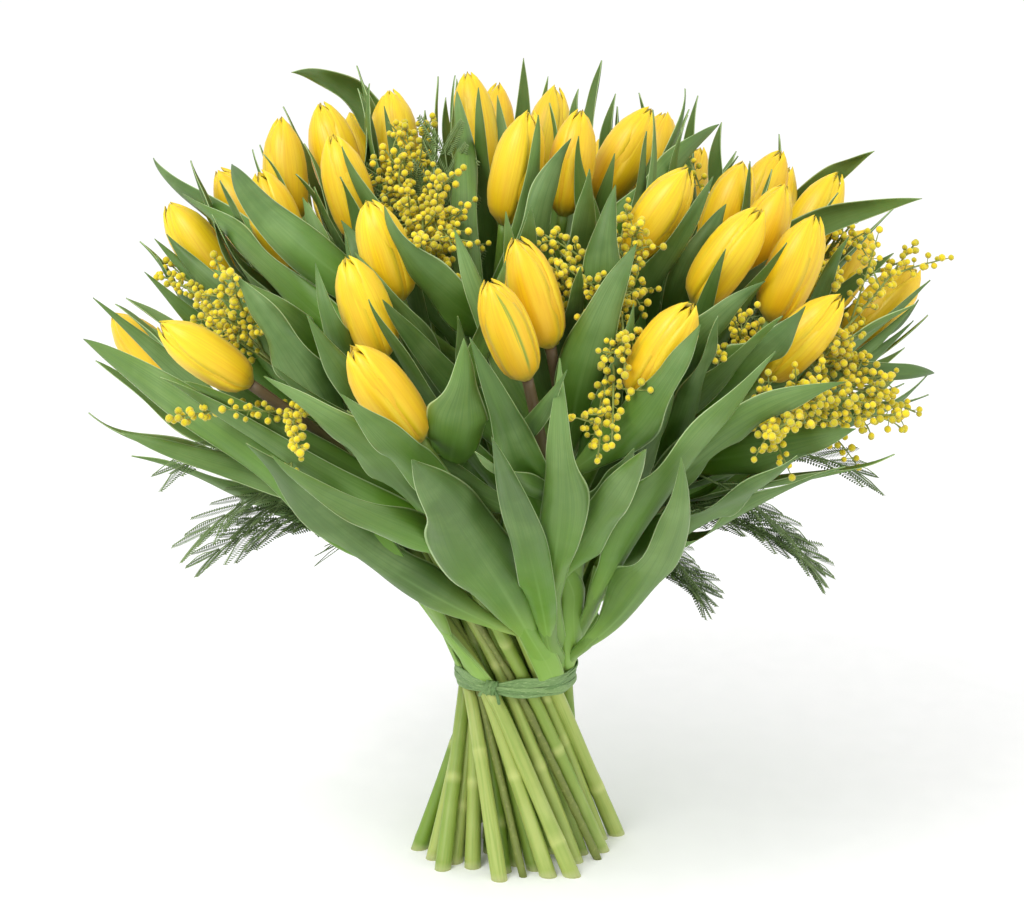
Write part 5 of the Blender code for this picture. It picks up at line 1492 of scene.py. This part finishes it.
# The foot of a low outer leaf: from under the tie it runs up the outside of the bundle, widens
# and bends into the blade's own arc, and slips behind the blade
def leafFoot(leaf, line, bundle, draw):
    lift = draw.uniform(*footSet["lift"]) * mm
    start = draw.uniform(*footSet["width"]) * mm
    centres, sides, widths, curls = [], [], [], []
    high = max(leaf["curve"][0][2] - 4 * mm, bunch["tieHeight"] + 9 * mm)
    steps = max(2, round((high - bunch["tieHeight"]) / footSet["step"]) + 1)
    for height in np.linspace(bunch["tieHeight"], high, steps):
        point = np.array([np.interp(height, line[:, 2], line[:, axis]) for axis in range(3)])
        radial = unit(point * (1, 1, 0))
        reach = min(bundle.reach(point), math.hypot(point[0], point[1]) + stemSet["radii"][1] + 1.5 * mm)
        rise = np.clip((height - bunch["tieHeight"] - 6 * mm) / footSet["slack"], 0, 1)
        centres.append(radial * (reach - footSet["sunk"] + (lift + 0.4 * mm) * rise) + upWay * height)
        sides.append(np.cross(upWay, radial))
        widths.append(start)
        curls.append(0.4)
    for s, out in footSet["endings"]:
        across, normal = bladeWays(leaf, unit(bezierSlope(leaf["curve"], s)), s)
        sides.append(across)
        centres.append(bezier(leaf["curve"], s) + normal * out)
        widths.append(max(leaf["width"] * leafOutline(s) * 0.96, start * 0.8))
        curls.append(leafSet["curl"][0])
    count = footSet["rows"]
    centre = smoothLine(np.array(centres), count)
    along = unit(np.gradient(centre, axis=0))
    across = smoothLine(np.array(sides), count)
    across = unit(across - along * (across * along).sum(1, keepdims=True))
    centre, across, normal = centre[:, None], across[:, None], np.cross(across, along)[:, None]
    rows = np.linspace(0, 1, len(widths))
    share = np.linspace(0, 1, count)
    width = np.interp(share, rows, widths)[:, None, None]
    curl = np.interp(share, rows, curls)[:, None, None]
    v = np.linspace(-1, 1, footSet["points"])
    bent = curl * v[None, :, None]
    surface = bentAcross(centre, across, normal, width, bent, curl)
    facing = normal * np.cos(bent) + across * np.sin(bent)
    half = (footSet["halfThick"] * (1 - fineBlade["thinEdge"] * v ** 4))[None, :, None]
    return twoFaced(surface, facing * half), 0.07 + 0.13 * share[:, None], v[None]


# One stem, swollen at two joints: facts = (1 at a joint, brown under the bloom, random)
def addStem(surface, k, line):
    draw = random.Random(f"stem {k}")
    rows, sides = len(line), fineStem["sides"]
    share = np.linspace(0, 1, rows)
    radii = np.interp(share, np.linspace(0, 1, 5), stemSet["radii"])
    radii = radii * (1 + 0.03 * np.sin(share * 31 + draw.uniform(0, 6)))
    joints = (draw.uniform(0.05, 0.2), draw.uniform(0.24, 0.4))
    joint = sum(np.exp(-((share - spot) / 0.011) ** 2) for spot in joints)
    radii = radii * (1 + fineStem["joint"] * joint)
    brown = 0.9 if k in fineStem["brown"] else draw.choice((0, 0, 0.35))
    facts = np.stack(np.broadcast_arrays(np.repeat(joint, sides), brown, draw.random()), axis=1)
    surface.addRings(barRings(line, radii, sides, level=True), 0, barPlace(rows, sides, draw.random()), facts)


# One leaf: facts = (1 on the upper face, half width over 20 mm, random). True if it has a foot
def addBlade(surface, number, blade, line, bundle):
    draw = random.Random(f"blade {number}")
    rings, s, v = fineLeaf(blade, draw)
    place = bladePlace(s, v, draw.random())
    upper = np.tile(np.concatenate([np.ones(v.size), np.zeros(v.size)]), len(s))
    facts = np.stack(np.broadcast_arrays(upper, blade["width"] / (20 * mm), draw.random()), axis=1)
    surface.addRings(rings, 1, place, facts)
    root = blade["curve"][0]
    low = root[2] < bunch["tieHeight"] + footSet["upTo"]
    if not low or math.hypot(root[0], root[1]) <= bundle.reach(root) - footSet["inside"]:
        return False
    rings, s, v = leafFoot(blade, line, bundle, draw)
    surface.addRings(rings, 1, bladePlace(s, v, draw.random()), (1, 0.3, draw.random()))
    return True


def makeStems(plan, leaves, stem, leaf):  # each group's stems, with the leaves that grow on them
    bundle = Bundle(plan["lines"], plan["radii"][:, 1])
    feet = 0
    for group in range(1 + stemSet["wedges"]):
        surface = Surface(f"leafyStems{group + 1}")
        members = [k for k in range(bloomSet["count"]) if plan["groups"][k] == group]
        for k in members:
            addStem(surface, k, plan["lines"][k])
        for number, blade in enumerate(leaves):
            if blade["stem"] in members:
                feet += addBlade(surface, number, blade, plan["lines"][blade["stem"]], bundle)
        surface.make([stem, leaf], f"leafy_stems_{group + 1}")
    print("leaf feet", feet)


# Mimosa


mimosa = {
    "stemSides": 8,
    "twigSides": 6,
    "twigRows": 8,
    "twigRadii": (0.85 * mm, 0.45 * mm),
    "stalkRadius": 0.28 * mm,
    "branch": 14 * mm,          # shortest side twig
    "depth": {"left": -8 * mm, "upper_left": -4 * mm, "middle": -4 * mm, "right": -3 * mm,
              "upper_right": -22 * mm, "far": 0},
    "sideTwigs": {"left": 1, "upper_left": 5, "middle": 4, "right": 5, "upper_right": 1, "far": 4},
    "room": 12 * mm,            # past the plain solids' box
    "step": 2.3 * mm,           # between the stalks of the balls along a twig
    "stalk": (2.2 * mm, 5.0 * mm),
    "ball": (1.4 * mm, 2.0 * mm),
    "firstBall": 0.76,          # of the size of the plain solid's balls
    "pinnae": 8,                # pairs on a frond
    "pinnaLength": 33 * mm,
    "leaflets": 20,             # pairs on a pinna
    "leafletLength": 4.2 * mm,
}

# Ends of the finer twigs, and tips of the finer fronds, that the plain solids leave out
moreTwigs = {
    "left": ((205, 262), (228, 318), (238, 342), (202, 300), (262, 330), (292, 470), (160, 275), (225, 285)),
    "upper_left": ((395, 185), (410, 205), (430, 195), (450, 212), (440, 236), (425, 256), (452, 246),
                   (398, 142), (415, 132), (405, 230), (385, 175)),
    "middle": ((625, 215), (642, 246), (620, 272), (640, 292), (615, 312), (635, 332), (610, 350), (622, 378),
               (600, 300), (560, 262), (575, 285), (598, 455), (612, 440), (545, 235)),
    "right": ((735, 322), (755, 345), (790, 402), (822, 392), (850, 328), (862, 358), (842, 410), (872, 388),
              (812, 422), (778, 430), (886, 400), (840, 350), (712, 352), (915, 412), (898, 262), (760, 325),
              (800, 410)),
    "upper_right": ((830, 238), (846, 262), (862, 234), (705, 205), (722, 190), (700, 225),
                    (690, 160)),
    "far": ((735, 322), (790, 402), (850, 328), (862, 358), (842, 410), (872, 388), (812, 422), (640, 292),
            (600, 250), (560, 200), (500, 180), (700, 240), (480, 230), (440, 200)),
}
moreFronds = {
    "left": ((187, 462), (216, 525), (262, 532), (318, 545), (300, 480), (350, 500), (200, 480)),
    "upper_left": ((432, 128), (385, 262), (450, 150)),
    "middle": ((620, 400), (585, 470)),
    "right": ((850, 472), (806, 560), (690, 582), (775, 512), (740, 500), (830, 450), (700, 520)),
    "upper_right": ((800, 300), (750, 170)),
    "far": ((850, 470), (806, 560), (690, 560), (740, 510), (600, 420)),
}


# Fronds of a spray, from its stem to where they show
def growFronds(word, spray, pixels, placed):
    found = 0
    for k, pixel in enumerate(pixels):
        draw = random.Random(f"{word} {spray['name']} {k}")
        end = turned(seenAt(pixel), spray["turn"])
        frond = clearFrond(spray["path"], end, placed, spray["stem"], draw)
        if frond:
            placed.add(frondSolid(**frond), (word, spray["name"], k))
            spray["fronds"].append(frond)
            found += 1
    return found


def growSprays(plan, placed):  # each spray's stem, twigs with their first balls, and fronds
    sprays = []
    for number, (name, _, twigs, fronds) in enumerate(sprigsSeen, bloomSet["count"]):
        spray = {
            "name": name, "stem": ("stem", number), "turn": sprayTurn(name), "twigs": [], "fronds": [],
            "path": plan["paths"][number], "line": plan["lines"][number],
        }
        for k, pixel in enumerate(twigs):
            end = turned(seenAt(pixel, sprigSet["twigOut"]), spray["turn"])
            line = clearTwig(spray["path"], end, placed, spray["stem"])
            if line is None:
                continue
            owner = ("twig", name, k)
            placed.add(twigSolid(line), owner)
            balls = clearBalls(line, placed, owner, plan["capsules"], random.Random(f"twig {name} {k}"))
            for ball in balls:
                placed.add(ballSolid(*ball), owner)
            spray["twigs"].append((line, balls, owner))
        growFronds("frond", spray, fronds, placed)
        sprays.append(spray)
    return sprays


# Finer twigs and fronds of each spray, from the same stem to where they show
def growMoreSprays(sprays, placed, capsules):
    found = 0
    for spray in sprays:
        name, path = spray["name"], spray["path"]
        for k, pixel in enumerate(moreTwigs[name]):
            end = turned(seenAt(pixel, mimosa["depth"][name]), spray["turn"])
            line = clearTwig(path, end, placed, spray["stem"])
            if line is None:
                line = looseTwig(path, end, capsules)
            if line is not None:
                owner = ("finer twig", name, k)
                placed.add(twigSolid(line), owner)
                spray["twigs"].append((line, [], owner))
                found += 1
        found += growFronds("finer frond", spray, moreFronds[name], placed)
    print("finer twigs and fronds", found)


# A twig thin enough to pass among the leaves, kept out of the blooms
def looseTwig(path, end, capsules):
    for line in twigLines(path, end):
        if not any(insideBloom(point, capsules) for point in smoothLine(line, 12)):
            return line
    return None


# A ball as six rings of eight points, from its lower to its upper end: a circle of radius
# sqrt(1 - height^2) at each height
def ballShape():
    lift = np.linspace(-0.96, 0.96, 6)[:, None]
    turn = (np.arange(8) + 0.5)[None] * math.pi / 4
    out = np.sqrt(1 - lift ** 2)
    return np.stack([out * np.cos(turn), out * np.sin(turn), lift * np.ones_like(turn)], axis=-1)


# Twigs that leave a twig at even steps, turned round it by the golden angle
def sideTwigs(line, count, draw):
    found = []
    way = unit(line[2] - line[0])
    length = np.linalg.norm(line[2] - line[0])
    for j in range(count):
        share = 0.35 + 0.6 * j / count
        half = int(share > 0.5)
        begin = line[half] + (line[half + 1] - line[half]) * (share * 2 - half)
        side = frameRound(way, 2.4 * j + draw.uniform(0, 1))[0]
        reach = max(length * draw.uniform(0.3, 0.45) * (1.25 - share), mimosa["branch"])
        end = begin + unit(way * 0.75 + side) * reach
        if inRoom(end):
            found.append(np.array([begin, (begin + end) / 2 + way * 1.5 * mm, end]))
    return found


def makeSprays(sprays, placed, capsules, wood, ball, frond):  # stem, twigs, balls and fronds
    shape = ballShape()
    total = 0
    for spray in sprays:
        name = spray["name"]
        surface = Surface("mimosa" + name.title().replace("_", ""))
        draw = random.Random(f"spray {name}")
        rows = len(spray["line"])
        radii = np.interp(np.linspace(0, 1, rows), np.linspace(0, 1, 5), stemSet["sprigRadii"])
        radii = radii * (1 + 0.1 * np.array([draw.uniform(-1, 1) for _ in range(rows)]))
        surface.addBar(spray["line"], radii, mimosa["stemSides"], 0, 0.15, level=True)
        balls = []
        for line, first, owner in spray["twigs"]:
            balls += [(centre, radius * mimosa["firstBall"], draw.random()) for centre, radius, _ in first]
            branches = sideTwigs(line, mimosa["sideTwigs"][name], draw)
            branches = [side for side in branches if placed.clear(twigSolid(side), owner)]
            for size, branch in ((1, line), *((0.7, side) for side in branches)):
                fine = smoothLine(branch, mimosa["twigRows"])
                radii = np.linspace(*mimosa["twigRadii"], mimosa["twigRows"]) * size
                surface.addBar(fine, radii, mimosa["twigSides"], 0, 0.8)
                growBalls(fine, draw, placed, owner, capsules, balls, surface)
        centres, sizes, tones = (np.array(column) for column in zip(*balls))
        points = centres[:, None, None] + shape * sizes[:, None, None, None]
        heights = np.broadcast_to((shape[..., 2] + 1) / 2, points.shape[:3])
        place = np.stack(np.broadcast_arrays(0, heights, tones[:, None, None]), axis=-1)
        surface.addRings(points, 1, place.reshape(-1, 3))
        total += len(balls)
        for number, curve in enumerate(spray["fronds"]):
            fineFrond(surface, curve, random.Random(f"leaflets {name} {number}"))
        surface.make([wood, ball, frond], f"mimosa_{name}")
    print("mimosa balls", total)


def inRoom(point):  # inside the plain solids' box, with some room round it
    low, high = np.array(cadBox)
    return bool((point > low - mimosa["room"]).all() and (point < high + mimosa["room"]).all())


# Balls on short stalks round a twig, each clear of the others and of all that is placed
def growBalls(line, draw, placed, owner, capsules, balls, surface):
    length = np.linalg.norm(np.diff(line, axis=0), axis=1).sum()
    count = int(length * 0.75 / mimosa["step"])
    for j in range(count + 1):
        share = 0.25 + 0.75 * j / max(count, 1)
        at = share * (len(line) - 1)
        k = min(int(at), len(line) - 2)
        spot = line[k] + (line[k + 1] - line[k]) * (at - k)
        way = unit(line[k + 1] - line[k])
        side = way if j == count else unit(frameRound(way, 2.4 * j + draw.uniform(0, 0.6))[0] + way * 0.4)
        radius = draw.uniform(*mimosa["ball"])
        centre = spot + side * (draw.uniform(*mimosa["stalk"]) * (1.15 - 0.4 * share) + radius * 0.3)
        taken = np.array([other for other, _, _ in balls]).reshape(-1, 3)
        if (np.linalg.norm(taken - centre, axis=1) < radius * 1.8).any():
            continue
        if insideBloom(centre, capsules) or not inRoom(centre):
            continue
        if not placed.clear(ballSolid(centre, radius, side), owner):
            continue
        stalk = np.array([spot, (spot + centre) / 2, centre])
        if placed.clear(tube(stalk, np.full(3, 0.3 * mm), 3), owner):
            balls.append((centre, radius, draw.random()))
            surface.addBar(stalk, mimosa["stalkRadius"], 4, 0, 0.95)


# A frond: a rib, pinnae slanting forward in pairs, longest in the middle, each with pairs of
# leaflets. A leaflet is a flat spindle: a line from its root with a width of sin(pi x share)
def fineFrond(surface, frond, draw):
    curve, facing = frond["curve"], frond["facing"]
    rib = bezier(curve, np.linspace(0, 1, 14)[:, None])
    surface.addBar(rib, np.linspace(0.7, 0.3, 14) * mm, 6, 2, 0.8)
    tone = draw.uniform(0.1, 0.6)
    for pair in range(mimosa["pinnae"]):
        s = 0.16 + 0.82 * pair / (mimosa["pinnae"] - 1)
        root, along = bezier(curve, s), unit(bezierSlope(curve, s))
        across = unit(np.cross(along, facing))
        normal = np.cross(across, along)
        reach = mimosa["pinnaLength"] * math.sin(math.pi * (0.25 + 0.5 * s)) ** 0.7 * draw.uniform(0.85, 1.05)
        for side in (-1, 1):
            way = unit(across * side + along * draw.uniform(1.1, 1.5))
            lift = normal * draw.uniform(-0.12, 0.12)
            end = root + (way + lift) * reach
            line = np.array([root, root + way * reach * 0.5 + normal * reach * 0.06, end])
            surface.addBar(smoothLine(line, 6), 0.3 * mm, 4, 2, 0.7)
            pinna(surface, line, way, normal, tone + draw.uniform(-0.1, 0.1))


def pinna(surface, line, way, normal, tone):  # all leaflets of a pinna, worked out together
    count = mimosa["leaflets"]
    share = np.repeat((np.arange(count) + 0.6) / count, 2)[:, None, None]
    hand = np.tile([-1.0, 1.0], count)[:, None, None]
    out = unit(np.cross(way, normal) * hand + way * 0.42)
    wide = unit(np.cross(out, normal))
    size = mimosa["leafletLength"] * np.sin(math.pi * (0.18 + 0.74 * share)) ** 0.6
    steps = np.array([0.0, 0.45, 1.0])[:, None]
    middle = line[0] + (line[2] - line[0]) * share + out * steps * size
    half = np.array([0.2, 0.56, 0.16])[:, None] * mm
    flat = normal * half * 0.25
    rings = np.stack([middle + wide * half, middle + flat, middle - wide * half, middle - flat], axis=2)
    shape = rings.shape[:3]
    place = np.stack([np.broadcast_to(value, shape) for value in (hand, share, tone)], axis=-1)
    surface.addRings(rings, 2, place.reshape(-1, 3))


# Raffia tie

raffia = {
    "band": 9 * mm,             # height of the band
    "knotSide": (-14.5, -29.5),  # the way from the axis to the knot
    "strands": 7,
    "width": 4.2 * mm,
    "thick": 0.5 * mm,
    "spread": 3.7 * mm,         # of the strands up and down the band
    "layers": (0.35 * mm, 0.3 * mm),  # how far out the first strand lies, and each one over it
    "points": 97,               # along a strand
    "knotNear": 0.35,           # radians over which the strands draw together
    "wraps": 3,                 # turns of the strand that make the knot
    "wrapStep": 2.2 * mm,
    "wrap": (3.2 * mm, 0.7 * mm),
    "tail": (2.0 * mm, 0.4 * mm),
    "tails": (5 * mm, 8 * mm),
}


# A flat strip along a line: corners at its half width up and its half thickness out, with the
# width drawn in and the strip turned a little as it goes
def addStrip(surface, line, out, width, thick, draw):
    along = unit(np.gradient(line, axis=0))
    out = unit(out - along * (out * along).sum(1, keepdims=True))
    rise = np.cross(along, out)
    share = np.linspace(0, 1, len(line))[:, None]
    lean = 0.35 * np.sin(share * draw.uniform(9, 16) + draw.uniform(0, 6))
    rise, out = rise * np.cos(lean) + out * np.sin(lean), out * np.cos(lean) - rise * np.sin(lean)
    width = width * (0.85 + 0.2 * np.sin(share * draw.uniform(11, 23) + draw.uniform(0, 6)))
    v = np.linspace(-1, 1, 5)[None, :, None]
    crease = 0.35 * thick * np.sin(v * 7 + draw.uniform(0, 6))
    face = line[:, None] + rise[:, None] * v * width[:, None] / 2 + out[:, None] * crease
    rings = twoFaced(face, out[:, None] * thick / 2)
    surface.addRings(rings, 0, bladePlace(share, v[..., 0], draw.random()))


def makeTie(plan, material):  # strands one over another round the bundle's outline, and a knot
    surface = Surface("raffiaTie")
    rings = []
    for part in (-0.5, 0, 0.5):
        level = bunch["tieHeight"] + part * raffia["band"]
        rings.append(bundleOutline(plan["lines"], plan["radii"][:, 1], level, 48, clearGap))
    angles = np.linspace(0, 2 * math.pi, raffia["points"])
    knotTurn = math.atan2(raffia["knotSide"][1], raffia["knotSide"][0])
    first, over = raffia["layers"]
    for strand in range(raffia["strands"]):
        draw = random.Random(f"strand {strand}")
        height = raffia["spread"] * (strand / (raffia["strands"] - 1) * 2 - 1)
        sway = draw.uniform(0.6, 1.8) * mm * (-1) ** strand
        level = height + sway * np.sin(angles + draw.uniform(0, 6))
        near = sum(np.exp(-((angles - turn) / raffia["knotNear"]) ** 2) for turn in (0, 2 * math.pi))
        level = level * (1 - 0.75 * near)
        middle = ringAt(rings, (angles + knotTurn) % (2 * math.pi), level / (raffia["band"] / 2))
        out = unit(middle)
        line = middle + out * (first + over * (strand % 3)) + upWay * (bunch["tieHeight"] + level)[:, None]
        addStrip(surface, line, out, raffia["width"], raffia["thick"], draw)
    makeKnot(surface, ringAt(rings, np.array([knotTurn]), np.array([0.0]))[0])
    surface.make([material], "raffia_tie")


def makeKnot(surface, place):  # turns of a strand round the others, and its two tails
    knot = place + upWay * bunch["tieHeight"]
    out = unit(place)
    side = np.array([-out[1], out[0], 0])
    draw = random.Random("knot")
    for wrap in range(raffia["wraps"]):
        shift = side * (wrap - 1) * raffia["wrapStep"]
        turn = np.linspace(0.15, math.pi - 0.15, 16)[:, None]
        line = knot + shift + upWay * np.cos(turn) * 3.8 * mm + out * (np.sin(turn) * 2.4 - 0.3) * mm
        line = line + side * 1.2 * mm * np.cos(turn)
        addStrip(surface, line, out + upWay * np.cos(turn), *raffia["wrap"], draw)
    for way, drop in zip((-1, 1), raffia["tails"]):
        points = np.array([knot + out * 1.2 * mm,
                           knot + out * 1.9 * mm + side * way * 4 * mm - upWay * 2 * mm,
                           knot + out * 2.2 * mm + side * way * 6 * mm - upWay * drop])
        line = smoothLine(points, 14)
        addStrip(surface, line, np.broadcast_to(out, line.shape), *raffia["tail"], draw)


# The bundle's outline at an angle and a height between the three rings measured
def ringAt(rings, angles, height):
    low, middle, high = (ringReach(ring, angles) for ring in rings)
    share = np.clip(height, -1, 1)
    reach = np.where(share < 0, middle + (low - middle) * -share, middle + (high - middle) * share)
    return np.stack([reach * np.cos(angles), reach * np.sin(angles), np.zeros_like(reach)], axis=1)


# Floor, lights and camera


studio = {
    "floor": 14.0,              # from the middle to each side
    "under": 0.2 * mm,
    "greys": ((0.92, 0.92, 0.92, 1), (0.95, 0.95, 0.95, 1)),
    "sky": 1.0,
    "lamps": (("key", 22, 0.9, (-0.8, -1.2, 1.6)), ("fill", 4, 1.5, (1.5, -0.9, 0.8))),
    "sensor": 36,
}


def makeFloor():  # white paper, just under the cut ends
    corners = np.array([(-1, -1, 0), (1, -1, 0), (1, 1, 0), (-1, 1, 0)]) * studio["floor"]
    mesh = bpy.data.meshes.new("floor")
    mesh.from_pydata((corners - upWay * studio["under"]).tolist(), [], [(0, 1, 2, 3)])
    floor = bpy.data.objects.new("floor", mesh)
    bpy.context.scene.collection.objects.link(floor)
    shade = Shade("floorPaper", Roughness=0.9, Emission_Strength=0.08)
    grain = shade.spots(60.0).ramp(0.3, 0.7)
    mesh.materials.append(shade.finish(shade.mix(grain, *studio["greys"])))


def hang(name, data, place, way):  # a lamp or camera at a place, looking along a way
    holder = bpy.data.objects.new(name, data)
    holder.location = place
    holder.rotation_euler = Vector(way).to_track_quat("-Z", "Y").to_euler()
    bpy.context.scene.collection.objects.link(holder)
    return holder


def makeLights():  # an even white sky and two soft lamps
    world = bpy.data.worlds.new("studio")
    world.use_nodes = True
    sky = world.node_tree.nodes["Background"].inputs
    sky[0].default_value = (1, 1, 1, 1)
    sky[1].default_value = studio["sky"]
    bpy.context.scene.world = world
    bpy.context.scene.view_settings.view_transform = "Standard"
    for name, power, size, place in studio["lamps"]:
        lamp = bpy.data.lights.new(name, "AREA")
        lamp.energy, lamp.size = power, size
        hang(name, lamp, place, photoView["centre"] - np.array(place))


def makeCamera():  # the photograph's view
    camera = bpy.data.cameras.new("camera")
    camera.sensor_fit = "HORIZONTAL"
    camera.sensor_width = studio["sensor"]
    camera.lens = studio["sensor"] * photoView["distance"] / (photoView["widePixels"] * photoView["pixel"])
    camera.shift_x = (photoView["widePixels"] / 2 - photoView["axisPixel"][0]) / photoView["widePixels"]
    bpy.context.scene.camera = hang("camera", camera, eyePoint, lookWay)


plan = layout()
print("layout ready")
placed = Placed()
for k in range(bloomSet["count"]):
    keys = ("bases", "axes", "lengths", "widths", "spins", "openings")
    placed.add(bloomSolid(*(plan[key][k] for key in keys)), ("bloom", k))
for k, path in enumerate(plan["paths"]):
    placed.add(tube(path, plan["radii"][k], stemSet["sides"], level=True), ("stem", k))
leaves = growLeaves(plan["paths"], placed)
sprays = growSprays(plan, placed)
growBeside(leaves, plan)
growMore(leaves)
growMoreSprays(sprays, placed, plan["capsules"])
makeBlooms(plan, petalMaterial())
print("blooms made")
makeStems(plan, leaves.made, stemMaterial(), leafMaterial())
print("stems and leaves made")
makeSprays(sprays, placed, plan["capsules"], woodMaterial(), ballMaterial(), frondMaterial())
makeTie(plan, raffiaMaterial())
print("tie made")
makeFloor()
makeLights()
makeCamera()
print("stage made")
